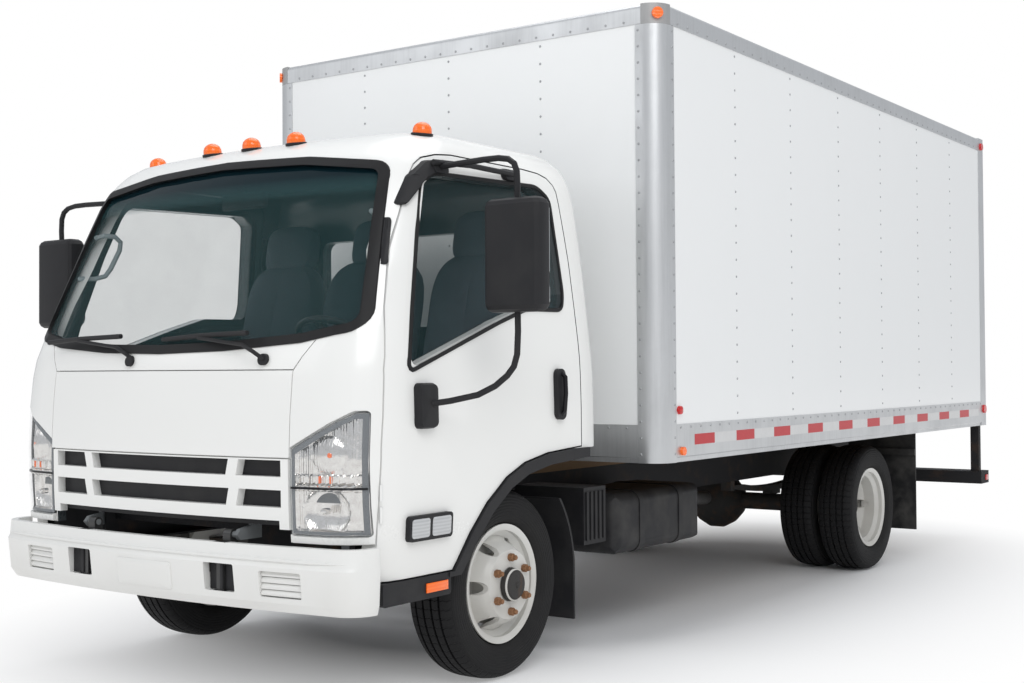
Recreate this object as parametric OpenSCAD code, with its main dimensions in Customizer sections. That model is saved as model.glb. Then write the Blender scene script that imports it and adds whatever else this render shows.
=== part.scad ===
// Cab-over delivery truck with a riveted cargo box.
// Millimetres. X across (driver's side is +X), Y along (front is -Y), Z up, tyres stand on Z = 0.
// Lengths along Y are measured from the front axle and moved by axle_y at the end.

/* [Running gear] */
// Distance between the axles
wheelbase = 3810; // [3400:10:4200]
// Height of every axle over the road
tyre_r = 390; // [380:1:400]
// Section width of a tyre
tyre_w = 225; // [210:1:235]
// Distance between the middles of the two front tyres
front_track = 1696; // [1680:2:1710]
// Distance between the middles of the two rear pairs
rear_track = 1690; // [1670:2:1700]
// Outer radius of the rim's lip
rim_r = 245; // [240:1:250]
// Distance from a rim's middle to its bolting face, half the spacing of twin tyres
dish = 127; // [122:1:132]
// Radius of the front wheel spindles
spindle_r = 32; // [28:0.5:36]
// Radius of the rear axle tubes
tube_r = 55; // [50:0.5:60]

/* [Cab] */
// Overhang of the front bumper before the front axle
front_overhang = 1090; // [1085:1:1120]
// Back of the cab behind the front axle
cab_back = 600; // [580:1:640]
// Thickness of cab walls and doors
wall = 60; // [50:1:66]
// Thickness of the outer front panels
panel_t = 18; // [12:0.5:22]
// Clearance round the doors
door_gap = 6; // [5:0.5:8]
// Width of the seams between fixed panels
seam = 4; // [2:0.5:6]

/* [Cargo box] */
// Front of the cargo box behind the front axle
box_front = 860; // [820:1:900]
// Length of the cargo box
box_len = 4880; // [4600:10:5000]
// Half of the width of the cargo box
box_hw = 1219; // [1200:1:1240]
// Underside of the cargo box
box_z0 = 840; // [835:1:850]
// Top of the cargo box
box_z1 = 2950; // [2850:10:3000]
// Radius of the rounded front corner posts
post_r = 100; // [80:1:110]
// Reach of the rear bumper behind the box
tail_reach = 110; // [80:1:140]

/* [Fits] */
// Radial clearance of turning pins and hubs
turn_fit = 0.3; // [0.2:0.05:0.5]
// Gap left between pieces that are fastened to each other
seat_fit = 0.3; // [0.2:0.05:0.4]

/* [Hidden] */

box_rear = box_front + box_len;
total_len = front_overhang + box_rear + tail_reach;
axle_y = front_overhang - total_len / 2;
wheel_x = front_track / 2;
pair_x = rear_track / 2;
white = [0.93, 0.93, 0.91];
black = [0.07, 0.07, 0.075];
steel = [0.6, 0.61, 0.62];
dark = [0.16, 0.16, 0.17];
rubber = [0.05, 0.05, 0.05];
amber = [1, 0.5, 0.02];
red = [0.7, 0.02, 0.02];

// Shared helpers

// Moves a piece drawn from the front axle to its place in the whole truck.
module from_axle() {
    translate([0, axle_y, 0]) children();
}

// A piece and its twin on the other side.
module both_sides() {
    children();
    mirror([1, 0, 0]) children();
}

// An outline drawn as (y, z), run along X from x0 to x1.
module across(x0, x1) {
    translate([x0, 0, 0]) rotate([90, 0, 90]) linear_extrude(x1 - x0) children();
}

// An outline drawn as (x, z), run along Y from y0 to y1.
module along(y0, y1) {
    translate([0, y1, 0]) rotate([90, 0, 0]) linear_extrude(y1 - y0) children();
}

// A box given by its two corners.
module block(a, b) {
    translate(a) cube(b - a);
}

// A rod between two heights along X.
module rod_x(x0, x1, r) {
    translate([x0, 0, 0]) rotate([0, 90, 0]) cylinder(h = x1 - x0, r = r, $fn = 48);
}

// A revolve about the X axis of an outline drawn as (radius, x).
module turned() {
    rotate([0, 90, 0]) rotate_extrude($fn = 96) children();
}

// An outline with its corners rounded.
module soft(r) {
    offset(r = r, $fn = 24) offset(delta = -r) children();
}

// One closed skin of many small faces.
module skin() {
    resize([0, 0, 0]) children();
}

// A closed solid through rings with the same number of points.
module loft(rings) {
    n = len(rings[0]);
    m = len(rings);
    sides = [for (i = [0:m - 2], j = [0:n - 1]) let (k = (j + 1) % n)
        [i * n + j, (i + 1) * n + j, (i + 1) * n + k, i * n + k]];
    split = [for (f = sides) each [[f[0], f[1], f[2]], [f[0], f[2], f[3]]]];
    polyhedron([for (r = rings) each r],
        concat([[for (j = [0:n - 1]) j]], split, [[for (j = [n - 1:-1:0]) (m - 1) * n + j]]));
}

function blend(a, b, c, d, t) = 0.5 * (2 * b + (c - a) * t + (2 * a - 5 * b + 4 * c - d) * t * t
    + (3 * b - a - 3 * c + d) * t * t * t);

// Rows of a table with a smooth run of steps added between them.
function smooth_rows(rows, steps) = let (last = len(rows) - 1) concat(
    [for (i = [0:last - 1], s = [0:steps - 1])
        blend(rows[max(i - 1, 0)], rows[i], rows[i + 1], rows[min(i + 2, last)], s / steps)],
    [rows[last]]);

// A round bar that follows points in space.
function unit(v) = v / norm(v);
function carry(n, a, b) = let (v = cross(a, b)) n * (a * b) + cross(v, n) + v * (v * n) / (1 + a * b);
module bar(p, r, n = 8) {
    d = [for (i = [0:len(p) - 1]) let (a = i == 0 ? p[1] - p[0] : p[i] - p[i - 1],
        b = i == len(p) - 1 ? a : p[i + 1] - p[i]) unit(unit(a) + unit(b))];
    start = abs(d[0][2]) < 0.9 ? unit(cross(d[0], [0, 0, 1])) : unit(cross(d[0], [1, 0, 0]));
    up = [for (i = 0, u = start; i < len(p); i = i + 1, u = i < len(p) ? carry(u, d[i - 1], d[i]) : u) u];
    loft([for (i = [0:len(p) - 1]) [for (k = [0:n - 1])
        p[i] + r * (cos(360 * k / n) * up[i] + sin(360 * k / n) * cross(d[i], up[i]))]]);
}

// Frame and running gear

rail_hw = 425;
rail_z0 = 570;
rail_z1 = 760;
rail_y0 = -930;
rail_y1 = box_rear - 60;
king_x = 715;
tilt_y = -1000;
tilt_z = 660;
tilt_pin_r = 12;

// One channel-section side member, web outwards.
module side_member() {
    difference() {
        block([rail_hw - 65, rail_y0, rail_z0], [rail_hw, rail_y1, rail_z1]);
        block([rail_hw - 66, rail_y0 - 1, rail_z0 + 8], [rail_hw - 8, rail_y1 + 1, rail_z1 - 8]);
    }
}

module frame_rails() {
    color(dark) from_axle() {
        both_sides() side_member();
        for (y = [-880, 700, 1700, 2700, wheelbase + 760, rail_y1 - 80])
            block([8 - rail_hw, y, rail_z1 - 100], [rail_hw - 8, y + 60, rail_z1 - 8]);
    }
}

module front_axle() {
    color(dark) from_axle() difference() {
        union() {
            block([-520, -45, tyre_r - 75], [520, 45, tyre_r - 15]);
            both_sides() across(515, king_x)
                polygon([[-40, tyre_r - 50], [40, tyre_r - 50], [40, tyre_r + 25], [-40, tyre_r + 25]]);
            both_sides() translate([king_x, 0, tyre_r - 55]) cylinder(h = 110, r = 40, $fn = 48);
        }
        both_sides() translate([king_x, 0, tyre_r - 60]) cylinder(h = 120, r = 17 + turn_fit, $fn = 48);
    }
}

module rear_axle() {
    color(dark) from_axle() translate([0, wheelbase, tyre_r]) {
        turned() polygon([[0, -pair_x - 30], [tube_r, -pair_x - 30], [tube_r, -190], [95, -165],
            [150, -110], [185, -40], [185, 40], [150, 110], [95, 165], [tube_r, 190],
            [tube_r, pair_x + 30], [0, pair_x + 30]]);
    }
}

// A pack of bowed leaves hung under a side member, with its hangers and saddle.
module spring_pack(x, reach, low, saddle) {
    rise = rail_z0 - 40 - low;
    bow_r = (reach * reach + rise * rise) / (2 * rise);
    translate([x - 35, 0, 0]) rotate([90, 0, 90]) linear_extrude(70) {
        intersection() {
            translate([0, low + bow_r]) difference() {
                circle(r = bow_r, $fn = 360);
                circle(r = bow_r - 36, $fn = 360);
            }
            translate([-reach, low - 10]) square([2 * reach, rise + 20]);
        }
        for (s = [-1, 1]) translate([s * reach - 25, low + rise - 20]) square([50, 60 - seat_fit]);
        translate([-60, saddle]) square([120, low - saddle + 20]);
    }
}

module leaf_springs() {
    color(dark) from_axle() both_sides() {
        spring_pack(rail_hw - 37, 560, tyre_r + 25, tyre_r - 15 + seat_fit);
        translate([0, wheelbase, 0]) spring_pack(rail_hw - 37, 640, tyre_r + 80,
            tyre_r + tube_r + seat_fit);
    }
}

module drive_shaft() {
    color(dark) from_axle() translate([0, 642, 590]) rotate([-93.4, 0, 0])
        cylinder(h = wheelbase - 821.2, r = 42, $fn = 48);
}

module engine() {
    color(dark) from_axle() {
        block([-260, -400, 500], [260, 420, 975]);
        block([-160, 420, 480], [160, 639, 740]);
        both_sides() block([259, -150, rail_z0 - 10], [rail_hw - 65 - seat_fit, -80, rail_z0 + 20]);
    }
}

module exhaust() {
    color(steel) from_axle() translate([-600, 1000, 560]) rotate([-90, 0, 0]) {
        cylinder(h = 900, r = 120, $fn = 48);
        translate([0, 0, 900]) cylinder(h = 500, r = 40, $fn = 48);
    }
    color(steel) from_axle() block([-500, 1300, 545], [-rail_hw - seat_fit, 1360, 600]);
}

tank_y0 = 930;
tank_y1 = 1780;
tank_x0 = 520;
tank_x1 = 930;
tank_z0 = 395;
tank_z1 = 685;

strap_spots = [tank_y0 + 210, tank_y1 - 250];
// The tank's section grown by a thickness.
module strap_outline(t) {
    soft(60 + t) translate([tank_x0 - t, tank_z0 - t]) square([tank_x1 - tank_x0 + 2 * t,
        tank_z1 - tank_z0 + 2 * t]);
}

// A rounded moulded tank, its two straps and the brackets that carry it.
module fuel_tank() {
    color(black) from_axle() {
        skin() intersection() {
            along(tank_y0, tank_y1) strap_outline(0);
            across(tank_x0, tank_x1) soft(60) translate([tank_y0, tank_z0])
                square([tank_y1 - tank_y0, tank_z1 - tank_z0]);
            translate([0, 0, tank_z0]) linear_extrude(tank_z1 - tank_z0) soft(60) translate([tank_x0,
                tank_y0])
                square([tank_x1 - tank_x0, tank_y1 - tank_y0]);
        }
        for (y = strap_spots) translate([0, y, 0]) {
            across_y(45) difference() {
                strap_outline(5);
                strap_outline(seat_fit);
            }
            block([rail_hw + seat_fit, 0, rail_z0 + 20], [tank_x0 - 3, 45, rail_z0 + 80]);
        }
    }
}

// An outline drawn as (x, z), run a length along +Y from Y = 0.
module across_y(h) {
    translate([0, h, 0]) rotate([90, 0, 0]) linear_extrude(h) children();
}

module battery_box() {
    color(black) from_axle() {
        block([520, 690, 470], [900, 880, 730]);
        block([rail_hw + seat_fit, 740, 600], [521, 820, 700]);
        for (k = [0:4]) block([899, 705 + 36 * k, 490], [908, 723 + 36 * k, 710]);
    }
}

// A beam axle end that turns on its king pin and carries the wheel.
module knuckle() {
    translate([king_x, 0, tyre_r]) {
        translate([0, 0, -80]) cylinder(h = 160, r = 17, $fn = 48);
        for (z = [-82, 57]) translate([0, 0, z]) linear_extrude(25) {
            circle(r = 36, $fn = 48);
            translate([0, -36]) square([58, 72]);
        }
        block([44, -36, -82], [58, 36, 82]);
        rod_x(57, wheel_x - king_x + 60, spindle_r);
        block([-30, 20, -82], [10, 190, -60]);
    }
}

module knuckle_left() {
    color(dark) from_axle() knuckle();
}

module knuckle_right() {
    color(dark) from_axle() mirror([1, 0, 0]) knuckle();
}

// Wheels and tyres, drawn as (radius, x) with x outwards from the rim's middle

rim_half = 92;
lip = [[rim_r, rim_half], [rim_r, 84], [rim_r - 19, 80], [rim_r - 19, 58], [rim_r - 43, 40]];
lip_in = [[rim_r - 8, rim_half], [rim_r - 26, 84], [rim_r - 26, 62], [rim_r - 50, 43]];

module rim_outline() {
    polygon(concat(lip, [for (i = [4:-1:0]) [lip[i][0], -lip[i][1]]],
        [for (p = lip_in) [p[0], -p[1]]], [for (i = [3:-1:0]) lip_in[i]]));
}

// The disc between rim and hub: a cone that stands out to the bolting face.
module disc_outline() {
    polygon([[rim_r - 47, 25], [rim_r - 47, 37], [182, 54], [160, 104], [142, dish], [70, dish],
        [70, dish - 12], [136, dish - 12], [148, 94], [168, 48], [186, 25]]);
}

module hand_holes(x0, x1) {
    for (k = [0:5]) rotate([60 * k + 30, 0, 0]) translate([0, 0, 172]) rod_x(x0, x1, 27);
}

module wheel_front() {
    color(white) translate([wheel_x, 0, tyre_r]) {
        difference() {
            turned() union() {
                rim_outline();
                disc_outline();
            }
            hand_holes(20, dish + 2);
        }
        turned() polygon([[spindle_r + turn_fit, -70], [170, -70], [170, 12], [120, 24], [120, dish - 12],
            [66, dish - 12], [66, dish + 26], [52, dish + 38], [0, dish + 38], [0, 63],
                [spindle_r + turn_fit, 63]]);
    }
}

module wheel_front_left() {
    from_axle() wheel_front();
}

module wheel_front_right() {
    from_axle() mirror([1, 0, 0]) wheel_front();
}

// Twin rims bolted face to face on a long hub.
module wheels_rear() {
    color(white) translate([pair_x, wheelbase, tyre_r]) {
        for (s = [-1, 1]) difference() {
            turned() translate([0, s * dish]) mirror([0, s > 0 ? 1 : 0]) union() {
                rim_outline();
                disc_outline();
            }
            hand_holes(-130, 130);
        }
        turned() polygon([[tube_r + turn_fit, -200], [170, -200], [170, -60], [130, -40], [130, -12],
            [69, -12],
            [69, 12], [69, 90], [60, 104], [0, 112], [0, 32], [tube_r + turn_fit, 32]]);
        turned() polygon([[68, 0], [70, 0], [70, 12], [68, 12]]);
    }
}

module wheels_rear_left() {
    from_axle() wheels_rear();
}

module wheels_rear_right() {
    from_axle() mirror([1, 0, 0]) wheels_rear();
}

side_r = 312;
// Points of a squared-off oval: half width w, half height h, power p, from a0 to a1 degrees.
function oval(w, h, p, a0, a1, n) = [for (k = [0:n]) let (a = a0 + (a1 - a0) * k / n)
    [side_r + h * sign(sin(a)) * pow(abs(sin(a)), 2 / p), w * pow(max(cos(a), 0), 2 / p)]];

function reversed(v) = [for (i = [len(v) - 1:-1:0]) v[i]];
function flipped(p) = [p[0], -p[1]];

// Half of a tyre's section: tread, bulging sidewall and bead on the rim.
function tyre_side(w, h) = concat(oval(w, h, 3.6, 90, 0, 10), oval(w, 75, 3, -12, -58, 4));

module tyre_outline() {
    out = tyre_side(tyre_w / 2, tyre_r - side_r);
    inn = tyre_side(tyre_w / 2 - 17, tyre_r - side_r - 17);
    bead = rim_r - 19 + seat_fit;
    toe = [[bead, 78], [bead, 60]];
    polygon(concat(out, toe, reversed(inn), [for (p = inn) if (p[1] > 0) flipped(p)],
        reversed([for (p = toe) flipped(p)]),
        reversed([for (p = out) if (p[1] > 0) flipped(p)])));
}

module tyre() {
    difference() {
        turned() tyre_outline();
        for (x = [-58, -20, 20, 58]) turned() translate([tyre_r - 11, x - 5]) square([30, 10]);
    }
}

module tyre_front_left() {
    color(rubber) from_axle() translate([wheel_x, 0, tyre_r]) tyre();
}

module tyre_front_right() {
    color(rubber) from_axle() translate([-wheel_x, 0, tyre_r]) tyre();
}

module tyres_rear_left() {
    color(rubber) from_axle() for (s = [-1, 1]) translate([pair_x + s * dish, wheelbase, tyre_r]) tyre();
}

module tyres_rear_right() {
    color(rubber) from_axle() for (s = [-1, 1]) translate([-pair_x + s * dish, wheelbase, tyre_r]) tyre();
}

// Cab: horizontal rings from a table

// Columns: height, front at the middle, back, half width, front corner radius, bow of the front, rear radius
cab_rows = [
    [480, -1000, cab_back, 1005, 230, 45, 40],
    [640, -1022, cab_back, 1022, 235, 50, 40],
    [950, -1035, cab_back, 1034, 240, 55, 45],
    [1250, -1020, cab_back, 1030, 245, 60, 50],
    [1400, -985, cab_back, 1018, 250, 65, 55],
    [1700, -860, cab_back, 985, 240, 70, 60],
    [2000, -725, cab_back - 4, 945, 225, 70, 70],
    [2120, -650, cab_back - 15, 915, 215, 70, 80],
    [2200, -540, cab_back - 40, 860, 210, 60, 90],
    [2245, -360, cab_back - 100, 740, 200, 40, 100],
    [2260, -150, cab_back - 220, 520, 150, 20, 80]];
cab_belt = 1300;
cab_top = 2260;

// A row drawn in by t on every face.
function drawn_in(r, t) = [r[0] - t * max(0, r[0] - cab_belt) / (cab_top - cab_belt),
    r[1] + t, r[2] - t, r[3] - t, max(r[4] - t, 12), r[5], max(r[6] - t, 8)];

// Half of a ring from the middle of the front round to the back.
function half_ring(r) = let (z = r[0], ye = r[1] + r[5], xe = r[3] - r[4]) concat(
    [for (k = [0:4]) [xe * k / 4, r[1] + r[5] * k * k / 16, z]],
    [for (k = [1:5]) [xe + r[4] * sin(18 * k), ye + r[4] * (1 - cos(18 * k)), z]],
    [for (k = [0:2]) [r[3] - r[6] * (1 - cos(45 * k)), r[2] - r[6] * (1 - sin(45 * k)), z]]);

function ring(r) = let (h = half_ring(r)) concat(h, [for (i = [len(h) - 1:-1:1]) [-h[i][0], h[i][1],
    h[i][2]]]);

// The cab's outer form drawn in by t, its foot lowered by drop.
module cab_form(t, drop = 0) {
    rows = [for (r = smooth_rows(cab_rows, 2)) drawn_in(r, t)];
    rings = [for (i = [0:len(rows) - 1]) [for (p = ring(rows[i])) i == 0 ? p - [0, 0, drop] : p]];
    loft(rings);
}

// The layer of the cab's form between two depths under its outer face.
module layer(t0, t1) {
    difference() {
        cab_form(t0);
        cab_form(t1, 40);
    }
}

// Outlines of the cab seen from the side, as (y, z)

arch = [[-430, 505], [-335, 640], [-230, 748], [-100, 840], [30, 893], [200, 924], [462, 940]];
door_front = [[-850, 505], [-848, 700], [-838, 1000], [-815, 1275], [-765, 1511], [-690, 1730],
    [-540, 2030]];
door_top = [[-512, 2068], [-470, 2098], [-400, 2116], [-300, 2126], [200, 2126], [310, 2120], [370, 2105],
    [402, 2080], [420, 2050]];
door_rear = [[448, 1750], [462, 1400]];

module door_outline() {
    polygon(concat(door_front, door_top, door_rear, [for (i = [6:-1:0]) arch[i]]));
}

module side_window() {
    soft(30) polygon([[-705, 1275], [-650, 1505], [-575, 1780], [-500, 1995], [-440, 2032],
        [270, 2052], [345, 2010], [368, 1600], [350, 1535], [90, 1532], [-120, 1470]]);
}

// Where the separate front panels lie, up to the seam on the pillars.
module front_zone() {
    polygon([[-1300, 640], [-850 - door_gap, 640], [-848 - door_gap, 700], [-838 - door_gap, 1000],
        [-815 - door_gap, 1275], [-780 - door_gap, 1440], [-1300, 1440]]);
}

// Outlines of the cab seen from the front, as (x, z)

module windscreen_outline() {
    soft(80) polygon([[-955, 1425], [-700, 1376], [-350, 1350], [0, 1342], [350, 1350], [700, 1376],
        [955, 1425],
        [840, 2080], [450, 2128], [0, 2143], [-450, 2128], [-840, 2080]]);
}

module rear_window_outline() {
    soft(50) translate([-560, 1480]) square([1120, 440]);
}

lamp_in = 692;
lamp_out = 985;
module headlamp_outline() {
    soft(14) polygon([[lamp_in, 672], [lamp_out, 672], [lamp_out, 1126], [lamp_out - 40, 1126],
        [lamp_in, 990]]);
}

module cowl_outline() {
    polygon([[-690, 1275 + seam], [690, 1275 + seam], [800, 1440], [-800, 1440]]);
}

// The inner half of the outline that parts the corner panels from the middle.
module middle_outline() {
    polygon([[-690 - seam, 600], [690 + seam, 600], [690 + seam, 1275], [800 + seam, 1440],
        [-800 - seam, 1440], [-690 - seam, 1275]]);
}

module cab_shell() {
    color(white) from_axle() skin() difference() {
        layer(0, wall);
        both_sides() across(500, 1300) offset(delta = door_gap) door_outline();
        along(-1300, -200) windscreen_outline();
        along(cab_back - 150, cab_back + 50) rear_window_outline();
        intersection() {
            difference() {
                cab_form(-20);
                cab_form(panel_t + seat_fit, 40);
            }
            across(-1300, 1300) front_zone();
        }
        both_sides() along(-1300, -700) headlamp_outline();
        along(-1300, -700) translate([-686, 600]) square([1372, 350]);
        block([-1300, -1300, 400], [1300, 900, 642]);
        block([-1300, -500, 400], [1300, 900, 930]);
    }
}

floor_inset = 85;
floor_hw = cab_rows[0][3] - floor_inset;
// Floor of the cab, the wheel house fronts and the arms that the cab tilts on.
module cab_floor() {
    color(dark) from_axle() {
        skin() intersection() {
            across(-floor_hw, floor_hw) polygon([[-1000, 790], [-440, 790], [-440, 1010], [590, 1010],
                [590, 1050],
                [-480, 1050], [-480, 830], [-1000, 830]]);
            cab_form(wall + seat_fit, 40);
        }
        both_sides() block([520, -520, 520], [floor_hw - 10, -500, 790]);
        both_sides() across(rail_hw + 5, rail_hw + 25) polygon([[-940, 791], [-890, 791], [-890, 640],
            [tilt_y, 640],
            [tilt_y - 18, tilt_z], [tilt_y, 680], [-940, 690]]);
        both_sides() translate([0, tilt_y, tilt_z]) rod_x(rail_hw - 52, rail_hw + 6, tilt_pin_r);
    }
}

// The painted middle panel and the cowl above it.
module front_panel() {
    color(white) from_axle() skin() intersection() {
        layer(0, panel_t);
        across(-1300, 1300) front_zone();
        difference() {
            along(-1300, -500) {
                translate([-690, 955]) square([1380, 320]);
                cowl_outline();
            }
            along(-1400, -400) offset(delta = seat_fit) windscreen_outline();
        }
    }
}

module corner_panels() {
    color(white) from_axle() skin() intersection() {
        layer(0, panel_t);
        across(-1300, 1300) front_zone();
        difference() {
            block([-1300, -1300, 646], [1300, -500, 1500]);
            along(-1400, -400) middle_outline();
            along(-1400, -400) offset(delta = seat_fit) windscreen_outline();
            both_sides() along(-1400, -400) offset(delta = 2) headlamp_outline();
        }
    }
}

grille_out = 684;
// Columns: top height, bottom height of each row of slots
slot_rows = [[944, 883], [834, 770]];
module grille_slots() {
    for (row = slot_rows) {
        polygon([[-400, row[0]], [400, row[0]], [385, row[1]], [-385, row[1]]]);
        for (s = [-1, 1]) polygon([[s * 450, row[0]], [s * 650, row[0]], [s * 650, row[1]], [s * 435,
            row[1]]]);
    }
}

module grille() {
    color(white) from_axle() skin() intersection() {
        layer(4, 40);
        along(-1300, -800) difference() {
            translate([-grille_out, 690]) square([2 * grille_out, 259.5]);
            grille_slots();
            polygon([[-640, 680], [640, 680], [640, 722], [-640, 722]]);
        }
    }
}

module radiator_screen() {
    color(black) from_axle() skin() intersection() {
        layer(40 + seat_fit, 52);
        along(-1300, -800) translate([-grille_out, 700]) square([2 * grille_out, 248]);
    }
}

module headlamp_lenses() {
    color([0.85, 0.88, 0.9, 0.5]) from_axle() skin() intersection() {
        layer(2, 8);
        both_sides() along(-1300, -700) headlamp_outline();
    }
}

// Lamp bowls behind the lenses: an upper and a lower chamber each.
module headlamp_housings() {
    color(steel) from_axle() skin() difference() {
        intersection() {
            layer(8 + seat_fit, wall);
            across(-1300, 1300) front_zone();
            both_sides() along(-1300, -700) offset(delta = -seat_fit) headlamp_outline();
        }
        both_sides() for (c = [[835, 985, 115], [840, 745, 58]])
            translate([c[0], -930, c[1]]) sphere(r = c[2], $fn = 14);
    }
}

seal_w = 36;
module cab_glass() {
    color([0.6, 0.75, 0.75, 0.35]) from_axle() skin() {
        intersection() {
            layer(10, 16);
            along(-1300, -200) offset(delta = -seal_w - seat_fit) windscreen_outline();
        }
        intersection() {
            layer(26, 32);
            along(cab_back - 150, cab_back + 50) offset(delta = -seat_fit) rear_window_outline();
        }
    }
}

module windscreen_seal() {
    color(rubber) from_axle() skin() difference() {
        intersection() {
            layer(-5, 26);
            along(-1300, -200) difference() {
                offset(delta = -seat_fit) windscreen_outline();
                offset(delta = -seal_w) windscreen_outline();
            }
        }
        both_sides() across(500, 1300) offset(delta = door_gap) door_outline();
    }
}

// A wiper: arm and blade lying along the foot of the glass.
module wiper(x) {
    bar([[x, -990, 1318], [x - 20, -1022, 1345], [x - 80, -1020, 1372], [x - 330, -1010, 1402]], 8);
    bar([[x - 560, -985, 1398], [x - 330, -1004, 1410], [x - 60, -1012, 1416]], 10);
}

wiper_spots = [-160, 560];
module wipers() {
    color(black) from_axle() skin() {
        difference() {
            for (x = wiper_spots) wiper(x);
            cab_form(-5 - seat_fit);
        }
        intersection() {
            layer(-14, -seat_fit);
            along(-1300, -600) for (x = wiper_spots) translate([x - 4, 1316]) circle(r = 22, $fn = 16);
        }
    }
}

// Columns: x, y and height of the foot of each roof lamp
roof_lamp_spots = [[-790, -330, 2190], [-250, -490, 2214], [0, -500, 2214], [250, -490, 2214],
    [790, -330, 2190]];
module roof_lamps() {
    color(amber) from_axle() skin() difference() {
        for (p = roof_lamp_spots) translate(p) {
            translate([0, 0, -40]) cylinder(h = 52, r = 36, $fn = 16);
            translate([0, 0, 10]) sphere(r = 31, $fn = 14);
        }
        cab_form(-seat_fit);
    }
}

flare_w = 48;
step_x0 = 880;
step_x1 = 1016;
// Black step under the door and the edge round the wheel arch.
module cab_steps() {
    color(black) from_axle() skin() both_sides() {
        across(step_x0, step_x1) soft(12) translate([-846, 415]) square([400, 84]);
        intersection() {
            layer(-14, 45);
            across(600, 1300) intersection() {
                difference() {
                    offset(delta = door_gap + flare_w) door_outline();
                    offset(delta = door_gap) door_outline();
                }
                translate([-458, 460]) square([976, 469.5]);
            }
        }
        block([850, -840, 440], [915, -600, 499]);
        block([850, -840, 440], [878, -560, 790 - seat_fit]);
    }
}

module dashboard() {
    color(dark) from_axle() skin() intersection() {
        across(-905, 905) polygon([[-1000, 1000], [-1000, 1335], [-760, 1345], [-640, 1310],
            [-610, 1210], [-690, 1120], [-720, 1000]]);
        cab_form(wall + seat_fit, 40);
    }
    color(black) from_axle() translate([wheel_mid, -640, 1200]) rotate([column_tilt, 0, 0])
        cylinder(h = 140, r = 36, $fn = 32);
}

// Columns: y and height of a seat's outline seen from the side
seat_side = [[-330, 1050.3], [-330, 1150], [-300, 1215], [-180, 1230], [120, 1205], [200, 1320],
    [290, 1720], [310, 1780], [345, 1800], [360, 1960], [400, 1990], [440, 1970], [445, 1850],
    [425, 1790], [400, 1500], [330, 1050.3]];
module seats() {
    color([0.35, 0.38, 0.42]) from_axle() for (x = [[-850, -370], [-330, 270], [330, 830]])
        across(x[0], x[1]) polygon(seat_side);
}

wheel_mid = 560;
column_tilt = -35;
// A rim of 420 mm with three spokes, square to its column.
module steering_wheel() {
    color(black) from_axle() translate([wheel_mid, -640, 1200]) rotate([column_tilt, 0, 0])
        translate([0, 0, 141]) {
        cylinder(h = 60, r = 60, $fn = 48);
        translate([0, 0, 50]) rotate_extrude($fn = 64) translate([205, 0]) circle(r = 15, $fn = 24);
        for (a = [-90, 30, 150]) rotate([0, 0, a]) block([40, -18, 38], [200, 18, 52]);
    }
}

// Doors and what rides on them

module door() {
    skin() difference() {
        intersection() {
            layer(0, wall);
            across(500, 1300) door_outline();
        }
        across(400, 1400) side_window();
    }
}

hinge_x = 1008;
hinge_y = -846;
hinge_r = 5;
// Hinge barrels on the front edge of a door, each with its leaf.
module door_hinges() {
    for (z = [720, 800]) translate([hinge_x, hinge_y, z]) {
        cylinder(h = 60, r = hinge_r, $fn = 32);
        block([-hinge_r, 0, 5], [0, 25, 55]);
    }
}

module door_left() {
    color(white) from_axle() {
        door();
        door_hinges();
    }
}

module door_right() {
    color(white) from_axle() mirror([1, 0, 0]) {
        door();
        door_hinges();
    }
}

module door_glass() {
    skin() intersection() {
        layer(22, 28);
        across(500, 1300) offset(delta = -seat_fit) side_window();
    }
}

module door_glass_left() {
    color([0.6, 0.75, 0.75, 0.35]) from_axle() door_glass();
}

module door_glass_right() {
    color([0.6, 0.75, 0.75, 0.35]) from_axle() mirror([1, 0, 0]) door_glass();
}

// Handle, side lamp and the lower foot of the mirror arm.
module door_trim() {
    skin() intersection() {
        layer(-22, -seat_fit);
        across(600, 1300) {
            soft(30) translate([250, 1058]) square([66, 217]);
            soft(16) translate([-728, 640]) square([257, 95]);
        }
    }
}

module door_trim_left() {
    color(black) from_axle() door_trim();
}

module door_trim_right() {
    color(black) from_axle() mirror([1, 0, 0]) door_trim();
}

mirror_mid = 1342;
mirror_w = 255;
mirror_r = 35;
// Mirror head on a bent tube between two feet on the door.
module door_mirror() {
    skin() {
        hull() for (s = [-1, 1], z = [1485 + mirror_r, 1910 - mirror_r], y = [-475, -440])
            translate([mirror_mid + s * (mirror_w / 2 - mirror_r), y, z]) sphere(r = mirror_r, $fn = 12);
        bar(smooth_rows([[938, -420, 2064], [mirror_mid - 162, -440, 2070], [mirror_mid - 42, -450, 2060],
            [mirror_mid, -455, 2010], [mirror_mid, -455, 1900]], 2), 12);
        bar(smooth_rows([[mirror_mid, -455, 1490], [mirror_mid, -460, 1330], [mirror_mid - 32, -480, 1250],
            [mirror_mid - 122, -540, 1180], [1052, -632, 1145]], 2), 12);
        intersection() {
            layer(-26, -seat_fit);
            across(600, 1300) {
                soft(20) translate([-672, 1085]) square([80, 125]);
                soft(12) translate([-460, 2040]) square([80, 50]);
            }
        }
    }
}

module mirror_left() {
    color(black) from_axle() door_mirror();
}

module mirror_right() {
    color(black) from_axle() mirror([1, 0, 0]) door_mirror();
}

bumper_back = -868;
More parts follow.
